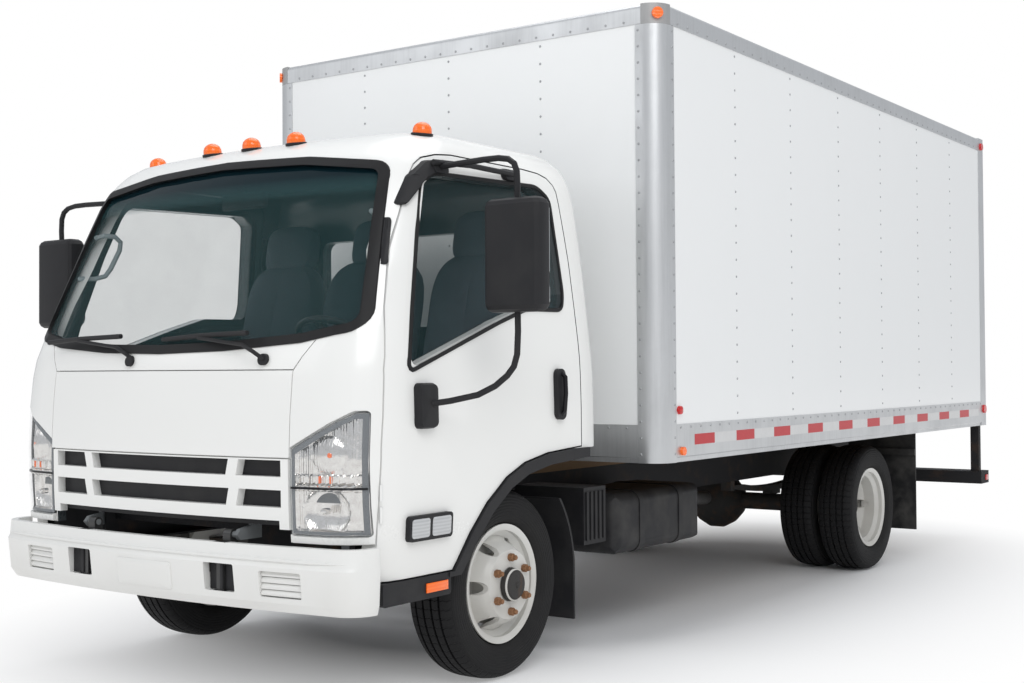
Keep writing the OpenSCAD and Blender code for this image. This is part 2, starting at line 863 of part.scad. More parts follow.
// Bumper: rings from a table with the cab's columns
bumper_rows = [
    [395, -1050, bumper_back, 1015, 112, 60, 10],
    [430, -1075, bumper_back, 1024, 116, 62, 10],
    [560, -1090, bumper_back, 1030, 120, 65, 10],
    [575, -1082, bumper_back, 1028, 120, 65, 10],
    [636, -1074, bumper_back, 1024, 116, 62, 10]];
bumper_t = 30;
module bumper_form(t, drop) {
    rows = [for (r = bumper_rows) [r[0] + (r[0] < 400 ? -drop : r[0] > 630 ? drop : 0), r[1] + t,
        r[2] + drop * 2,
        r[3] - t, r[4] - t, r[5], r[6]]];
    loft([for (r = rows) ring(r)]);
}

module front_bumper() {
    color(white) from_axle() {
        skin() difference() {
            bumper_form(0, 0);
            bumper_form(bumper_t, 30);
            both_sides() along(-1300, -900) soft(8) translate([330, 455]) square([150, 105]);
            both_sides() along(-1300, -900) soft(8) translate([600, 450]) square([190, 95]);
        }
        both_sides() difference() {
            across(rail_hw - 50, rail_hw - 10) {
                translate([-1052, 450]) square([rail_y0 - seat_fit + 1052, 150]);
                translate([tilt_y - 20, 599]) square([40, tilt_z - 599]);
                translate([tilt_y, tilt_z]) circle(r = 20, $fn = 48);
            }
            translate([0, tilt_y, tilt_z]) rod_x(rail_hw - 60, rail_hw, tilt_pin_r + turn_fit);
        }
    }
}

// Guards behind the front wheels with their flaps.
module front_mudguards() {
    color(black) from_axle() both_sides() {
        across(640, 960) {
            intersection() {
                translate([0, tyre_r]) difference() {
                    circle(r = 520, $fn = 120);
                    circle(r = 508, $fn = 120);
                }
                translate([400, tyre_r - 40]) square([200, 360]);
            }
            translate([508, 170]) square([12, 190]);
        }
        block([rail_hw + seat_fit, 452, 600], [660, 482, 640]);
    }
}

flap_y = wheelbase + 560;
flap_t = 12;
// Flaps behind the rear wheels, each hung from a bar on its side member.
module rear_mudflaps() {
    color(black) from_axle() both_sides() {
        block([700, flap_y, 200], [box_hw - 59, flap_y + flap_t, box_z0 - seat_fit]);
        block([rail_hw + seat_fit, flap_y - 20, 690], [box_hw - 59, flap_y + 1, 730]);
    }
}

module rear_bumper() {
    color(black) from_axle() {
        both_sides() block([box_hw - 99, box_rear - 58, 499], [box_hw - 39, box_rear - 10,
            box_z0 - seat_fit]);
        both_sides() block([380, box_rear - 58, 499], [440, box_rear - 10, box_z0 - seat_fit]);
        block([19 - box_hw, box_rear - 70, 410], [box_hw - 19, box_rear + tail_reach, 500]);
    }
}

// Cargo box

skin_t = 22;
flange = 3.7;
rail_t = 40;
box_post = 110;
side_in = box_hw - flange - seat_fit - skin_t;
panel_z0 = box_z0 + 145;
panel_z1 = box_z1 - 55;
inner_y0 = box_front + rail_t;
inner_y1 = box_rear - box_post;

module box_floor() {
    color([0.45, 0.33, 0.2]) from_axle() {
        block([seat_fit + rail_t - box_hw, inner_y0 + seat_fit, box_z0 + 90],
            [box_hw - rail_t - seat_fit, inner_y1 - seat_fit, panel_z0]);
        for (k = [0:11]) translate([0, inner_y0 + 120 + k * (box_len - 400) / 11.4, 0])
            block([seat_fit + rail_t - box_hw, 0, box_z0 + 10], [box_hw - rail_t - seat_fit, 50,
                box_z0 + 91]);
        both_sides() block([rail_hw - 62, box_front + 60, rail_z1 + seat_fit],
            [rail_hw + 10, box_rear - 120, box_z0 + 11]);
    }
}

// The two sides and the front of the load space.
module box_panels() {
    color(white) from_axle() {
        both_sides() block([side_in, box_front + post_r + seat_fit, panel_z0 + seat_fit],
            [side_in + skin_t, inner_y1 - seat_fit, panel_z1]);
        block([post_r + seat_fit - box_hw, box_front + flange + seat_fit, panel_z0 + seat_fit],
            [box_hw - post_r - seat_fit, box_front + flange + seat_fit + skin_t, panel_z1]);
    }
}

module box_roof() {
    color(white) from_axle() block([post_r + seat_fit - box_hw, inner_y0, box_z1 - 30],
        [box_hw - post_r - seat_fit, inner_y1 - seat_fit, box_z1 - 8 - seat_fit]);
}

module box_rear_frame() {
    color(white) from_axle() {
        both_sides() block([box_hw - 75, inner_y1, box_z0], [box_hw, box_rear, box_z1]);
        block([75 - box_hw - 1, inner_y1, box_z1 - 170], [box_hw - 74, box_rear, box_z1]);
        block([75 - box_hw - 1, inner_y1, box_z0], [box_hw - 74, box_rear, panel_z0]);
    }
}

door_panels = 8;
module box_rollup_door() {
    color(white) from_axle() {
        high = box_z1 - 170 - panel_z0 - 2 * seat_fit;
        difference() {
            block([75 + seat_fit - box_hw, box_rear - 70, panel_z0 + seat_fit],
                [box_hw - 75 - seat_fit, box_rear - 40, panel_z0 + seat_fit + high]);
            for (k = [1:door_panels - 1]) block([-box_hw, box_rear - 46,
                panel_z0 + k * high / door_panels - 4],
                [box_hw, box_rear - 30, panel_z0 + k * high / door_panels + 4]);
        }
    }
}

// A rounded upright with a riveting flange along each panel.
module post_outline() {
    translate([box_hw - post_r, box_front + post_r]) intersection() {
        difference() {
            circle(r = post_r, $fn = 96);
            circle(r = post_r - 12, $fn = 96);
        }
        translate([0, -post_r]) square(post_r);
    }
    translate([box_hw - flange, box_front + post_r - 1]) square([flange, 32]);
    translate([box_hw - post_r - 31, box_front]) square([32, flange]);
}

module box_corner_posts() {
    color(steel) from_axle() both_sides() translate([0, 0,
        box_z0]) linear_extrude(box_z1 - 95 - box_z0) post_outline();
}

// Cast corners on top of the front posts.
module box_corner_caps() {
    color(steel) from_axle() both_sides() translate([0, 0,
        box_z1 - 95 + seat_fit]) linear_extrude(95 - seat_fit) {
        intersection() {
            translate([box_hw - post_r, box_front + post_r]) circle(r = post_r, $fn = 96);
            translate([box_hw - post_r, box_front]) square(post_r);
        }
    }
}

module top_rail_outline() {
    polygon(concat([[box_hw - flange, box_z1 - 92], [box_hw, box_z1 - 92]],
        [for (a = [0:15:90]) [box_hw - 24 * (1 - cos(a)), box_z1 - 24 * (1 - sin(a))]],
        [[box_hw - 110, box_z1], [box_hw - 110, box_z1 - 8], [box_hw - 40, box_z1 - 8],
            [box_hw - flange, box_z1 - 40]]));
}

module box_top_rails() {
    color(steel) from_axle() {
        both_sides() along(box_front + post_r + seat_fit, inner_y1 - seat_fit) top_rail_outline();
        across(post_r + seat_fit - box_hw, box_hw - post_r - seat_fit) translate([box_front + box_hw, 0])
            mirror([1, 0]) top_rail_outline();
    }
}

module bottom_rail_outline() {
    polygon([[box_hw - rail_t, box_z0], [box_hw - 6, box_z0], [box_hw - 6, box_z0 + 20], [box_hw,
        box_z0 + 26],
        [box_hw, panel_z0 + 30], [box_hw - flange, panel_z0 + 30], [box_hw - flange, panel_z0],
            [box_hw - rail_t, panel_z0]]);
}

module box_bottom_rails() {
    color(steel) from_axle() {
        both_sides() along(box_front + post_r + seat_fit + 32, inner_y1 - seat_fit) bottom_rail_outline();
        across(post_r + 32 - box_hw, box_hw - post_r - 32) translate([box_front + box_hw, 0])
            mirror([1, 0]) bottom_rail_outline();
    }
}

module box_amber_lamps() {
    color(amber) from_axle() both_sides() {
        translate([box_hw + seat_fit, box_front + 180, box_z0 + 50]) rotate([0, 90, 0])
            cylinder(h = 14, r = 20, $fn = 32);
        translate([box_hw - post_r, box_front + post_r, box_z1 - 48]) rotate([0, 90, -45])
            translate([0, 0, post_r + seat_fit]) cylinder(h = 14, r = 26, $fn = 32);
    }
}

module box_red_lamps() {
    color(red) from_axle() both_sides() {
        translate([box_hw + seat_fit, inner_y1 + 50, box_z1 - 60]) rotate([0, 90, 0])
            cylinder(h = 14, r = 26, $fn = 32);
        translate([box_hw + seat_fit, inner_y1 + 50, box_z0 + 120]) rotate([0, 90, 0])
            cylinder(h = 14, r = 30, $fn = 32);
        block([box_hw - 88, box_rear + seat_fit, box_z0 + 30], [box_hw - 32, box_rear + 20, box_z0 + 130]);
    }
}

frame_rails();
front_axle();
rear_axle();
leaf_springs();
drive_shaft();
engine();
exhaust();
fuel_tank();
battery_box();
front_bumper();
front_mudguards();
rear_mudflaps();
rear_bumper();
box_floor();
box_panels();
box_roof();
box_rear_frame();
box_rollup_door();
box_corner_posts();
box_corner_caps();
box_top_rails();
box_bottom_rails();
box_amber_lamps();
box_red_lamps();
cab_shell();
cab_floor();
front_panel();
corner_panels();
grille();
radiator_screen();
headlamp_lenses();
headlamp_housings();
cab_glass();
windscreen_seal();
wipers();
roof_lamps();
cab_steps();
dashboard();
seats();
steering_wheel();
door_left();
door_right();
door_glass_left();
door_glass_right();
door_trim_left();
door_trim_right();
mirror_left();
mirror_right();
knuckle_left();
knuckle_right();
wheel_front_left();
wheel_front_right();
tyre_front_left();
tyre_front_right();
wheels_rear_left();
wheels_rear_right();
tyres_rear_left();
tyres_rear_right();
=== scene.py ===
# %% [markdown]
# # A cab-over box truck
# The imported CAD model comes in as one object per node, all in one frame: metres, X to the
# driver's side, Y to the rear, Z up. This notebook gives every node a material, adds small
# pieces, and sets up a camera and soft light.

# %% Load the frame
import math
import bmesh
import bpy
from mathutils import Matrix, Vector
from mathutils.bvhtree import BVHTree


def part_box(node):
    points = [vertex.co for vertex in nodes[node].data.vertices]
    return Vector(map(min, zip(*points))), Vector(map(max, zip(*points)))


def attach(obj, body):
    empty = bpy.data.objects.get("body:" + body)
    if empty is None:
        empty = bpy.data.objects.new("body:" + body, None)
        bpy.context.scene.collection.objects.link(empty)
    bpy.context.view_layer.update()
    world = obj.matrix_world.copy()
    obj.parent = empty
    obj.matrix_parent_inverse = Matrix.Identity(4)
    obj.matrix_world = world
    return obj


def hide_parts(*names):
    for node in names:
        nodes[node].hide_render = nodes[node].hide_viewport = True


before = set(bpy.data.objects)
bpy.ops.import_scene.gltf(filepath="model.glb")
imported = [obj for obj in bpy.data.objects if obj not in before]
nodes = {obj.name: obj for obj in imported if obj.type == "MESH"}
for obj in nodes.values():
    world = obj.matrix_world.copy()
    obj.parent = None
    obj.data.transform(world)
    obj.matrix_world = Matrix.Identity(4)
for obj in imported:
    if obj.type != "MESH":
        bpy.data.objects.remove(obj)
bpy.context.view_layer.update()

# %% [markdown]
# Sizes that the part's source also uses, in metres. Lengths along Y are counted from the front
# axle, so `Y(...)` moves them to their place in the frame.

# %% Shared sizes
AXLE_Y = -2.380
WHEELBASE = 3.810
TYRE_R = 0.390
BOX_FRONT, BOX_REAR = 0.860, 5.740
BOX_HW, PANEL_X = 1.219, 1.215
SIDES = (1, -1)
DOOR_SIDES = (("left", 1), ("right", -1))


def Y(y):
    """A length counted from the front axle, as a place in the frame."""
    return AXLE_Y + y


def put(name, data):
    """A new object in the scene."""
    obj = bpy.data.objects.new(name, data)
    bpy.context.scene.collection.objects.link(obj)
    return obj


print("box body length:", BOX_REAR - BOX_FRONT)

# %% [markdown]
# ## Shader maths
# Node trees are easier to read as arithmetic. A `Val` wraps an output socket, and its operators
# add Math nodes. `Sheet.node` adds any other node by its type name.

# %% Values with operators
class Val:
    """An output socket that can be used in sums."""

    def __init__(self, sheet, socket):
        self.sheet, self.socket = sheet, socket

    def _math(self, op, other=0.0, swap=False):
        a, b = (other, self) if swap else (self, other)
        return self.sheet.node("ShaderNodeMath", a, b, operation=op)

    def __add__(self, o): return self._math("ADD", o)
    __radd__ = __add__
    def __sub__(self, o): return self._math("SUBTRACT", o)
    def __rsub__(self, o): return self._math("SUBTRACT", o, True)
    def __mul__(self, o): return self._math("MULTIPLY", o)
    def __lt__(self, o): return self._math("LESS_THAN", o)
    def __gt__(self, o): return self._math("GREATER_THAN", o)
    def pow(self, o): return self._math("POWER", o)
    def sin(self): return self._math("SINE")
    def frac(self): return self._math("FRACT")
    def least(self, o): return self._math("MINIMUM", o)
    def most(self, o): return self._math("MAXIMUM", o)

    def ramp(self, a, b, lo=0.0, hi=1.0):
        return self.sheet.node("ShaderNodeMapRange", self, a, b, lo, hi)


print("values ready")

# %% [markdown]
# A `Sheet` is one material's node tree. `done` plugs the results into the Principled shader.

# %% Material sheets
class Sheet:
    """One material's node tree with its Principled shader."""

    def __init__(self, name):
        self.mat = bpy.data.materials.new(name)
        self.mat.use_nodes = True
        self.tree = self.mat.node_tree
        self.bsdf = self.tree.nodes["Principled BSDF"]
        self.pos = self.node("ShaderNodeTexCoord", out="Object")
        self.x, self.y, self.z = (self.node("ShaderNodeSeparateXYZ", self.pos, out=k)
                                  for k in "XYZ")

    def node(self, kind, *inputs, out=0, named=None, **settings):
        """A new node. Inputs come in order, or by their names or numbers in named."""
        n = self.tree.nodes.new(kind)
        for key, value in settings.items():
            setattr(n, key, value)
        for key, value in {**dict(enumerate(inputs)), **(named or {})}.items():
            self.plug(n.inputs[key], value)
        return Val(self, n.outputs[out])

    def plug(self, socket, value):
        if isinstance(value, Val):
            self.tree.links.new(value.socket, socket)
        elif value is not None:
            socket.default_value = value

    def noise(self, scale, detail=4.0, rough=0.55, at=None):
        return self.node("ShaderNodeTexNoise", out="Fac", named={
            "Vector": at or self.pos, "Scale": scale, "Detail": detail, "Roughness": rough})

    def mix(self, factor, a, b):
        a, b = (c + (1,) if isinstance(c, tuple) else c for c in (a, b))
        return self.node("ShaderNodeMix", out=2, data_type="RGBA", named={0: factor, 6: a, 7: b})

    def bump(self, height, strength, distance=0.001):
        named = {"Strength": strength, "Distance": distance, "Height": height}
        self.plug(self.bsdf.inputs["Normal"], self.node("ShaderNodeBump", named=named))

    def done(self, **sockets):
        for name, value in sockets.items():
            self.plug(self.bsdf.inputs[name.replace("_", " ")], value)
        return self.mat


print("sheets ready")

# %% [markdown]
# ## Materials
# Each material varies by place: dust low down, streaks on metal, grain in mouldings. All read
# Object coordinates, which are the frame's own metres.

# %% Paints and metals
def paint(name, color, dirt, rough, wave=0.0, inner=None, inside_shade=False):
    """Paint with dirt low down. One flag paints near-black shade on the faces inside the cab; inner
    darkens the bumper's brackets.
    """
    s = Sheet(name)
    cloud = s.noise(3.1, 5)
    speck = s.noise(90, 3)
    low = s.z.ramp(0.75, 0.35)
    grime = (low * (0.35 + cloud)).least(1.0) * dirt * 0.55 + (cloud - 0.5).most(0.0) * dirt * 0.16
    base = s.mix(grime, color, (0.36, 0.33, 0.29))
    # Painted shade: faces that look towards the cab's middle turn near-black.
    if inside_shade:
        inside = s.node("ShaderNodeAttribute", attribute_name="inside", out="Fac")
        base = s.mix(inside, base, (0.058, 0.068, 0.072))
    if inner is not None:
        off_mid = (s.x * s.x).pow(0.5)
        bracket = (s.y > inner) * (off_mid < 0.43) * (off_mid > 0.36) * (s.z > 0.445)
        base = s.mix(bracket, base, (0.02, 0.02, 0.02))
    if wave:
        s.bump(s.noise(1.1, 2) + s.noise(5.0, 1) * 0.18, wave, 0.02)
    shine = speck.ramp(0.2, 0.8, rough - 0.01, rough + 0.01) + grime * 0.4
    return s.done(Base_Color=base, Roughness=shine, Coat_Weight=0.3, Coat_Roughness=0.12)


def alloy(name, color, rough=0.4, metal=0.85, streak=0.6):
    s = Sheet(name)
    upright = s.node("ShaderNodeVectorMath", s.pos, (1.0, 1.0, 0.04), operation="MULTIPLY")
    lines = s.noise(60, 3, 0.6, upright)
    cloud = s.noise(4, 5)
    dark = tuple(c * 0.62 for c in color)
    base = s.mix(((lines - 0.4) * streak + (cloud - 0.5) * 0.7).most(0.0).least(1.0), color, dark)
    s.bump(lines, 0.05, 0.0006)
    return s.done(Base_Color=base, Metallic=metal,
                  Roughness=cloud.ramp(0.3, 0.75, rough - 0.08, rough + 0.12))


def plastic(name, color, rough, grain, size, dust):
    s = Sheet(name)
    cell = s.noise(size, 2, 0.5)
    cloud = s.noise(7, 5)
    dusty = ((cloud - 0.42) * 1.6).most(0.0).least(1.0) * dust * s.z.ramp(2.2, 0.3, 0.25, 1.0)
    base = s.mix(dusty, color, (0.24, 0.23, 0.21))
    s.bump(cell, grain, 0.0004)
    return s.done(Base_Color=base, Roughness=cloud.ramp(0.25, 0.75, rough - 0.07, rough + 0.1),
                  Specular_IOR_Level=0.22)


def iron(name, color, rust):
    s = Sheet(name)
    cloud = s.noise(9, 6, 0.62)
    pit = s.noise(160, 4)
    worn = ((cloud - 0.52) * 4.0).most(0.0).least(1.0) * rust
    base = s.mix(worn, color, (0.17, 0.09, 0.045))
    s.bump(pit, 0.3, 0.0008)
    return s.done(Base_Color=base, Metallic=0.2, Roughness=pit.ramp(0.2, 0.8, 0.55, 0.82),
                  Specular_IOR_Level=0.25)


def rusty(name):
    s = Sheet(name)
    cloud = s.noise(120, 6, 0.65)
    base = s.mix(cloud, (0.10, 0.045, 0.022), (0.42, 0.21, 0.10))
    s.bump(s.noise(400, 4), 0.5, 0.0006)
    return s.done(Base_Color=base, Metallic=0.15, Roughness=cloud.ramp(0.2, 0.8, 0.6, 0.88))


def clear(name, color, alpha):
    """Thin clear sheet: part of the light goes straight through."""
    s = Sheet(name)
    smear = s.noise(6, 4)
    base = s.mix(smear * 0.4, color, tuple(c * 0.8 for c in color))
    return s.done(Base_Color=base, Roughness=smear.ramp(0.4, 0.9, 0.03, 0.08),
                  Alpha=smear.ramp(0, 1, alpha, alpha + 0.06), Specular_IOR_Level=0.4)


print("paints and metals ready")

# %% [markdown]
# Lenses get fine ribs from a sine of the height. Glass is see-through by its alpha.

# %% Lenses, cloth and glass
def lens(name, color, glow=0.0, ribs=420.0, clearness=0.35):
    s = Sheet(name)
    rib = (s.z * ribs).sin() * 0.5 + 0.5
    base = s.mix(rib * 0.35, color, tuple(min(1.0, c * 1.5 + 0.03) for c in color))
    s.bump(rib, 0.35, 0.001)
    # glow makes the lens shine by itself: a painted glow, also where the lens is only a reflector.
    return s.done(Base_Color=base, Emission_Color=base, Emission_Strength=glow,
                  Roughness=rib.ramp(0, 1, 0.1, 0.2), Transmission_Weight=clearness, IOR=1.49,
                  Coat_Weight=0.4)


def cloth(name, color):
    s = Sheet(name)
    weave = (s.x * 2600.0).sin() * (s.z * 2600.0).sin() * 0.5 + 0.5
    cloud = s.noise(11, 4)
    base = s.mix(cloud * 0.5 + weave * 0.2, color, tuple(c * 0.6 for c in color))
    s.bump(weave, 0.4, 0.0006)
    return s.done(Base_Color=base, Roughness=cloud.ramp(0.2, 0.8, 0.85, 0.97))


def screen_glass(name):
    """Tinted glass with a dark band along the top of the windscreen."""
    s = Sheet(name)
    band = s.z.ramp(1.955, 2.04) * (s.y < AXLE_Y)
    smear = s.noise(5, 4)
    tint = s.mix(smear * 0.3, (0.05, 0.12, 0.125), (0.04, 0.10, 0.105))
    base = s.mix(band, tint, (0.004, 0.016, 0.022))
    return s.done(Base_Color=base, Roughness=smear.ramp(0.4, 0.9, 0.02, 0.06),
                  Alpha=band.ramp(0, 1, 0.13, 0.9), Specular_IOR_Level=0.18)


def chrome(name):
    """Bright lamp metal with fine upright flutes."""
    s = Sheet(name)
    flute = (s.x * 820.0).sin() * 0.5 + 0.5
    cloud = s.noise(38, 4)
    s.bump(flute * 0.5 + cloud, 0.4, 0.002)
    base = s.mix(cloud, (0.95, 0.94, 0.92), (0.66, 0.63, 0.60))
    return s.done(Base_Color=base, Metallic=1.0, Roughness=cloud.ramp(0.2, 0.8, 0.05, 0.15))


def tape(name, color, metal):
    s = Sheet(name)
    cells = ((s.y * 900.0).sin() * (s.z * 900.0).sin()) * 0.5 + 0.5
    base = s.mix(cells * 0.3 + s.noise(20, 4) * 0.3, color, tuple(c * 0.6 for c in color))
    return s.done(Base_Color=base, Metallic=metal, Roughness=cells.ramp(0, 1, 0.28, 0.45))


print("lenses and glass ready")

# %% [markdown]
# Every material is made once here and found by its key later.

# %% All the materials
MAT = {
    "fabric": cloth("seat_cloth", (0.085, 0.10, 0.12)),
    "screen": screen_glass("screen_glass"),
    "tape_red": tape("tape_red", (0.55, 0.02, 0.03), 0.0),
    "tape_silver": tape("tape_silver", (0.72, 0.72, 0.72), 0.3),
    "side_lens": lens("side_lens", (0.55, 0.56, 0.57), 0.0, 500.0, 0.2),
    "white": paint("white_paint", (0.83, 0.83, 0.81), 0.35, 0.26),
    # The cab's paint also paints near-black shade on its inside faces.
    "cab": paint("cab_paint_and_inside_shade", (0.83, 0.83, 0.81), 0.35, 0.26, inside_shade=True),
    "panel": paint("white_panel", (0.82, 0.83, 0.83), 0.3, 0.33, 0.12),
    "bumper": paint("white_bumper", (0.82, 0.82, 0.80), 0.4, 0.36, inner=Y(-1.060)),
    "wheel": paint("wheel_white", (0.74, 0.74, 0.71), 1.0, 0.42),
    "alloy": alloy("aluminium_rail", (0.60, 0.61, 0.62)),
    "cast_alloy": alloy("cast_corner", (0.40, 0.40, 0.40), 0.55, 0.6),
    "steel": alloy("dull_steel", (0.34, 0.34, 0.34), 0.5, 0.8),
    "chassis": iron("black_chassis", (0.022, 0.022, 0.024), 0.25),
    "iron": iron("cast_iron", (0.05, 0.048, 0.046), 0.7),
    "rust": rusty("rusty_nut"),
    "black": plastic("black_moulding", (0.018, 0.018, 0.020), 0.5, 0.25, 900, 0.15),
    "gloss_black": plastic("gloss_black", (0.012, 0.012, 0.014), 0.2, 0.02, 900, 0.05),
    "tank": plastic("tank_black", (0.022, 0.022, 0.024), 0.55, 0.5, 240, 0.35),
    "trim": plastic("grey_trim", (0.15, 0.16, 0.165), 0.6, 0.35, 700, 0.1),
    "handle": plastic("pale_handle", (0.30, 0.34, 0.35), 0.5, 0.2, 700, 0.1),
    "liner": plastic("cab_liner", (0.30, 0.31, 0.31), 0.7, 0.3, 500, 0.1),
    "rubber": plastic("black_rubber", (0.012, 0.012, 0.013), 0.5, 0.1, 600, 0.1),
    "flap": plastic("flap_rubber", (0.016, 0.016, 0.017), 0.62, 0.3, 150, 0.5),
    "glass": clear("teal_glass", (0.035, 0.09, 0.095), 0.09),
    "lens": clear("clear_lens", (0.55, 0.58, 0.6), 0.05),
    # Amber and red lenses glow faintly by themselves: a painted glow, which the reflectors wear as
    # well as the lamps.
    "amber": lens("amber_lens_painted_glow", (0.90, 0.14, 0.004), 0.12, 420.0, 0.1),
    "red": lens("red_lens_painted_glow", (0.55, 0.01, 0.012), 0.12),
    "bright": chrome("bright_reflector"),
    "lamp_frame": plastic("lamp_frame", (0.16, 0.17, 0.18), 0.35, 0.05, 900, 0.05),
    "rivet": alloy("rivet_grey", (0.42, 0.43, 0.44), 0.45),
    "mirror": alloy("mirror_glass", (0.88, 0.9, 0.9), 0.06, 1.0, 0.0),
    "wood": iron("load_floor", (0.20, 0.13, 0.07), 0.2),
}
print("materials:", len(MAT))

# %% [markdown]
# A tyre's material knows where its wheel's centre is: the angle round that centre makes the
# sipes on the tread and shoulders, and the radius makes the rings on the sidewall.

# %% Tyre rubber
def tyre_rubber(name, y_mid):
    s = Sheet(name)
    dy, dz = s.y - y_mid, s.z - TYRE_R
    radius = (dy * dy + dz * dz).pow(0.5)
    angle = s.node("ShaderNodeMath", dz, dy, operation="ARCTAN2")
    tread = radius.ramp(0.362, 0.366)
    across = (s.x * 260.0).sin() * 0.05
    sipe = ((angle * (64 / math.tau) + across).frac() - 0.5)
    cut = (sipe * sipe * 60.0).least(1.0)
    ring = (radius * 520.0).sin() * 0.5 + 0.5
    side = (1.0 - tread) * radius.ramp(0.262, 0.275) * ring * 0.3
    dust = s.noise(14, 5) * radius.ramp(0.40, 0.26, 0.1, 0.5)
    base = s.mix(dust, (0.008, 0.008, 0.009), (0.05, 0.048, 0.045))
    s.bump(tread * cut + side, 0.9, 0.005)
    return s.done(Base_Color=base, Roughness=dust.ramp(0, 0.5, 0.62, 0.88), Specular_IOR_Level=0.2)


MAT["tyre_front"] = tyre_rubber("tyre_front", Y(0))
MAT["tyre_rear"] = tyre_rubber("tyre_rear", Y(WHEELBASE))
print("materials:", len(MAT))

# %% [markdown]
# Each look lists the CAD nodes that wear it. A node's mesh is never changed.

# %% Give every CAD node its material
looks = {
    "white": "corner_panels grille",
    "cab": "cab_shell front_panel door_left door_right",
    "panel": "box_panels box_roof box_rollup_door",
    "bumper": "front_bumper",
    "wheel": "wheel_front_left wheel_front_right wheels_rear_left wheels_rear_right",
    "alloy": "box_corner_posts box_top_rails box_bottom_rails box_rear_frame",
    "cast_alloy": "box_corner_caps",
    "steel": "exhaust drive_shaft",
    "chassis": "frame_rails rear_bumper",
    "iron": "front_axle rear_axle leaf_springs engine knuckle_left knuckle_right",
    "black": "wipers door_trim_left door_trim_right mirror_left mirror_right cab_steps "
             "radiator_screen steering_wheel front_mudguards battery_box",
    "tank": "fuel_tank",
    "trim": "dashboard cab_floor",
    "rubber": "windscreen_seal",
    "flap": "rear_mudflaps",
    "glass": "door_glass_left door_glass_right",
    "screen": "cab_glass",
    "lens": "headlamp_lenses",
    "bright": "headlamp_housings",
    "amber": "roof_lamps box_amber_lamps",
    "red": "box_red_lamps",
    "wood": "box_floor",
    "liner": "seats",
    "tyre_front": "tyre_front_left tyre_front_right",
    "tyre_rear": "tyres_rear_left tyres_rear_right",
}
choice = {n: MAT[k] for k, names in looks.items() for n in names.split()}
for name, obj in nodes.items():
    obj.data.materials.clear()
    obj.data.materials.append(choice[name])
print("nodes with a material:", len(choice))

# %% [markdown]
# Curved CAD nodes come in as small flat faces. A Geometry Nodes modifier welds them and shades
# them smooth, except at edges sharper than a set angle.

# %% Smooth shading by angle
WELD, SHARP = 0.00002, math.radians(29)


def new_group(name, **inputs):
    """A Geometry Nodes group, with what adds a node to it and what joins two nodes."""
    g = bpy.data.node_groups.new(name, "GeometryNodeTree")
    for label, kind in {"Geometry": "Geometry", **inputs}.items():
        g.interface.new_socket(label, in_out="INPUT", socket_type="NodeSocket" + kind)
    g.interface.new_socket("Geometry", in_out="OUTPUT", socket_type="NodeSocketGeometry")

    def join(a, i, b, k):
        g.links.new(a.outputs[i], b.inputs[k])

    return g, g.nodes.new, join


def smooth_group():
    g, new, join = new_group("smooth_by_angle")
    start, end = new("NodeGroupInput"), new("NodeGroupOutput")
    weld = new("GeometryNodeMergeByDistance")
    weld.inputs["Distance"].default_value = WELD
    faces, edges = new("GeometryNodeSetShadeSmooth"), new("GeometryNodeSetShadeSmooth")
    edges.domain = "EDGE"
    angle, test = new("GeometryNodeInputMeshEdgeAngle"), new("FunctionNodeCompare")
    test.inputs[1].default_value = SHARP
    join(start, 0, weld, "Geometry")
    join(weld, 0, faces, "Geometry")
    join(faces, 0, edges, "Geometry")
    join(angle, 0, test, 0)
    join(test, 0, edges, "Selection")
    edges.inputs["Shade Smooth"].default_value = False
    join(edges, 0, end, 0)
    return g


SMOOTH = smooth_group()


def smooth(obj):
    obj.modifiers.new("smooth_by_angle", "NODES").node_group = SMOOTH


print("smoothing nodes:", len(SMOOTH.nodes))

# %% [markdown]
# A second group marks the faces that look towards the cab's middle, where the paint turns near-black
# as painted shade.

# %% Mark the inside of the cab
CAB_MIDDLE = (0.0, Y(-0.25), 1.45)


def inside_group():
    g, new, join = new_group("mark_inside", Middle="Vector")
    start, end = new("NodeGroupInput"), new("NodeGroupOutput")
    away, along = new("ShaderNodeVectorMath"), new("ShaderNodeVectorMath")
    away.operation, along.operation = "SUBTRACT", "DOT_PRODUCT"
    test, store = new("ShaderNodeMath"), new("GeometryNodeStoreNamedAttribute")
    test.operation = "LESS_THAN"
    test.inputs[1].default_value = -0.1
    store.data_type, store.domain = "FLOAT", "FACE"
    store.inputs["Name"].default_value = "inside"
    join(new("GeometryNodeInputPosition"), 0, away, 0)
    join(start, "Middle", away, 1)
    join(new("GeometryNodeInputNormal"), 0, along, 0)
    join(away, 0, along, 1)
    join(along, "Value", test, 0)
    join(start, "Geometry", store, "Geometry")
    join(test, 0, store, "Value")
    join(store, 0, end, 0)
    return g


INSIDE = inside_group()
middle = next(i.identifier for i in INSIDE.interface.items_tree if i.name == "Middle")
for name in looks["cab"].split():
    mod = nodes[name].modifiers.new("mark_inside", "NODES")
    mod.node_group = INSIDE
    mod[middle] = CAB_MIDDLE
for obj in nodes.values():
    smooth(obj)
print("smoothed nodes:", len(nodes))

# %% [markdown]
# ## Tools for small pieces
# Every added piece is a mesh made in place, and `piece` lets it ride on a CAD body. `Touch` finds
# where a ray meets a CAD surface, so that a lens can lie on a curved panel.

# %% Blocks, lofts and tubes
def mesh_of(name, bm):
    """Turns a bmesh into a mesh with its faces looking outwards."""
    bmesh.ops.recalc_face_normals(bm, faces=bm.faces)
    mesh = bpy.data.meshes.new(name)
    bm.to_mesh(mesh)
    bm.free()
    return mesh


def piece(name, bm, look, body):
    """An object with a material, riding on a CAD body."""
    obj = put(name, mesh_of(name, bm))
    obj.data.materials.append(MAT[look])
    smooth(obj)
    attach(obj, body)
    return obj


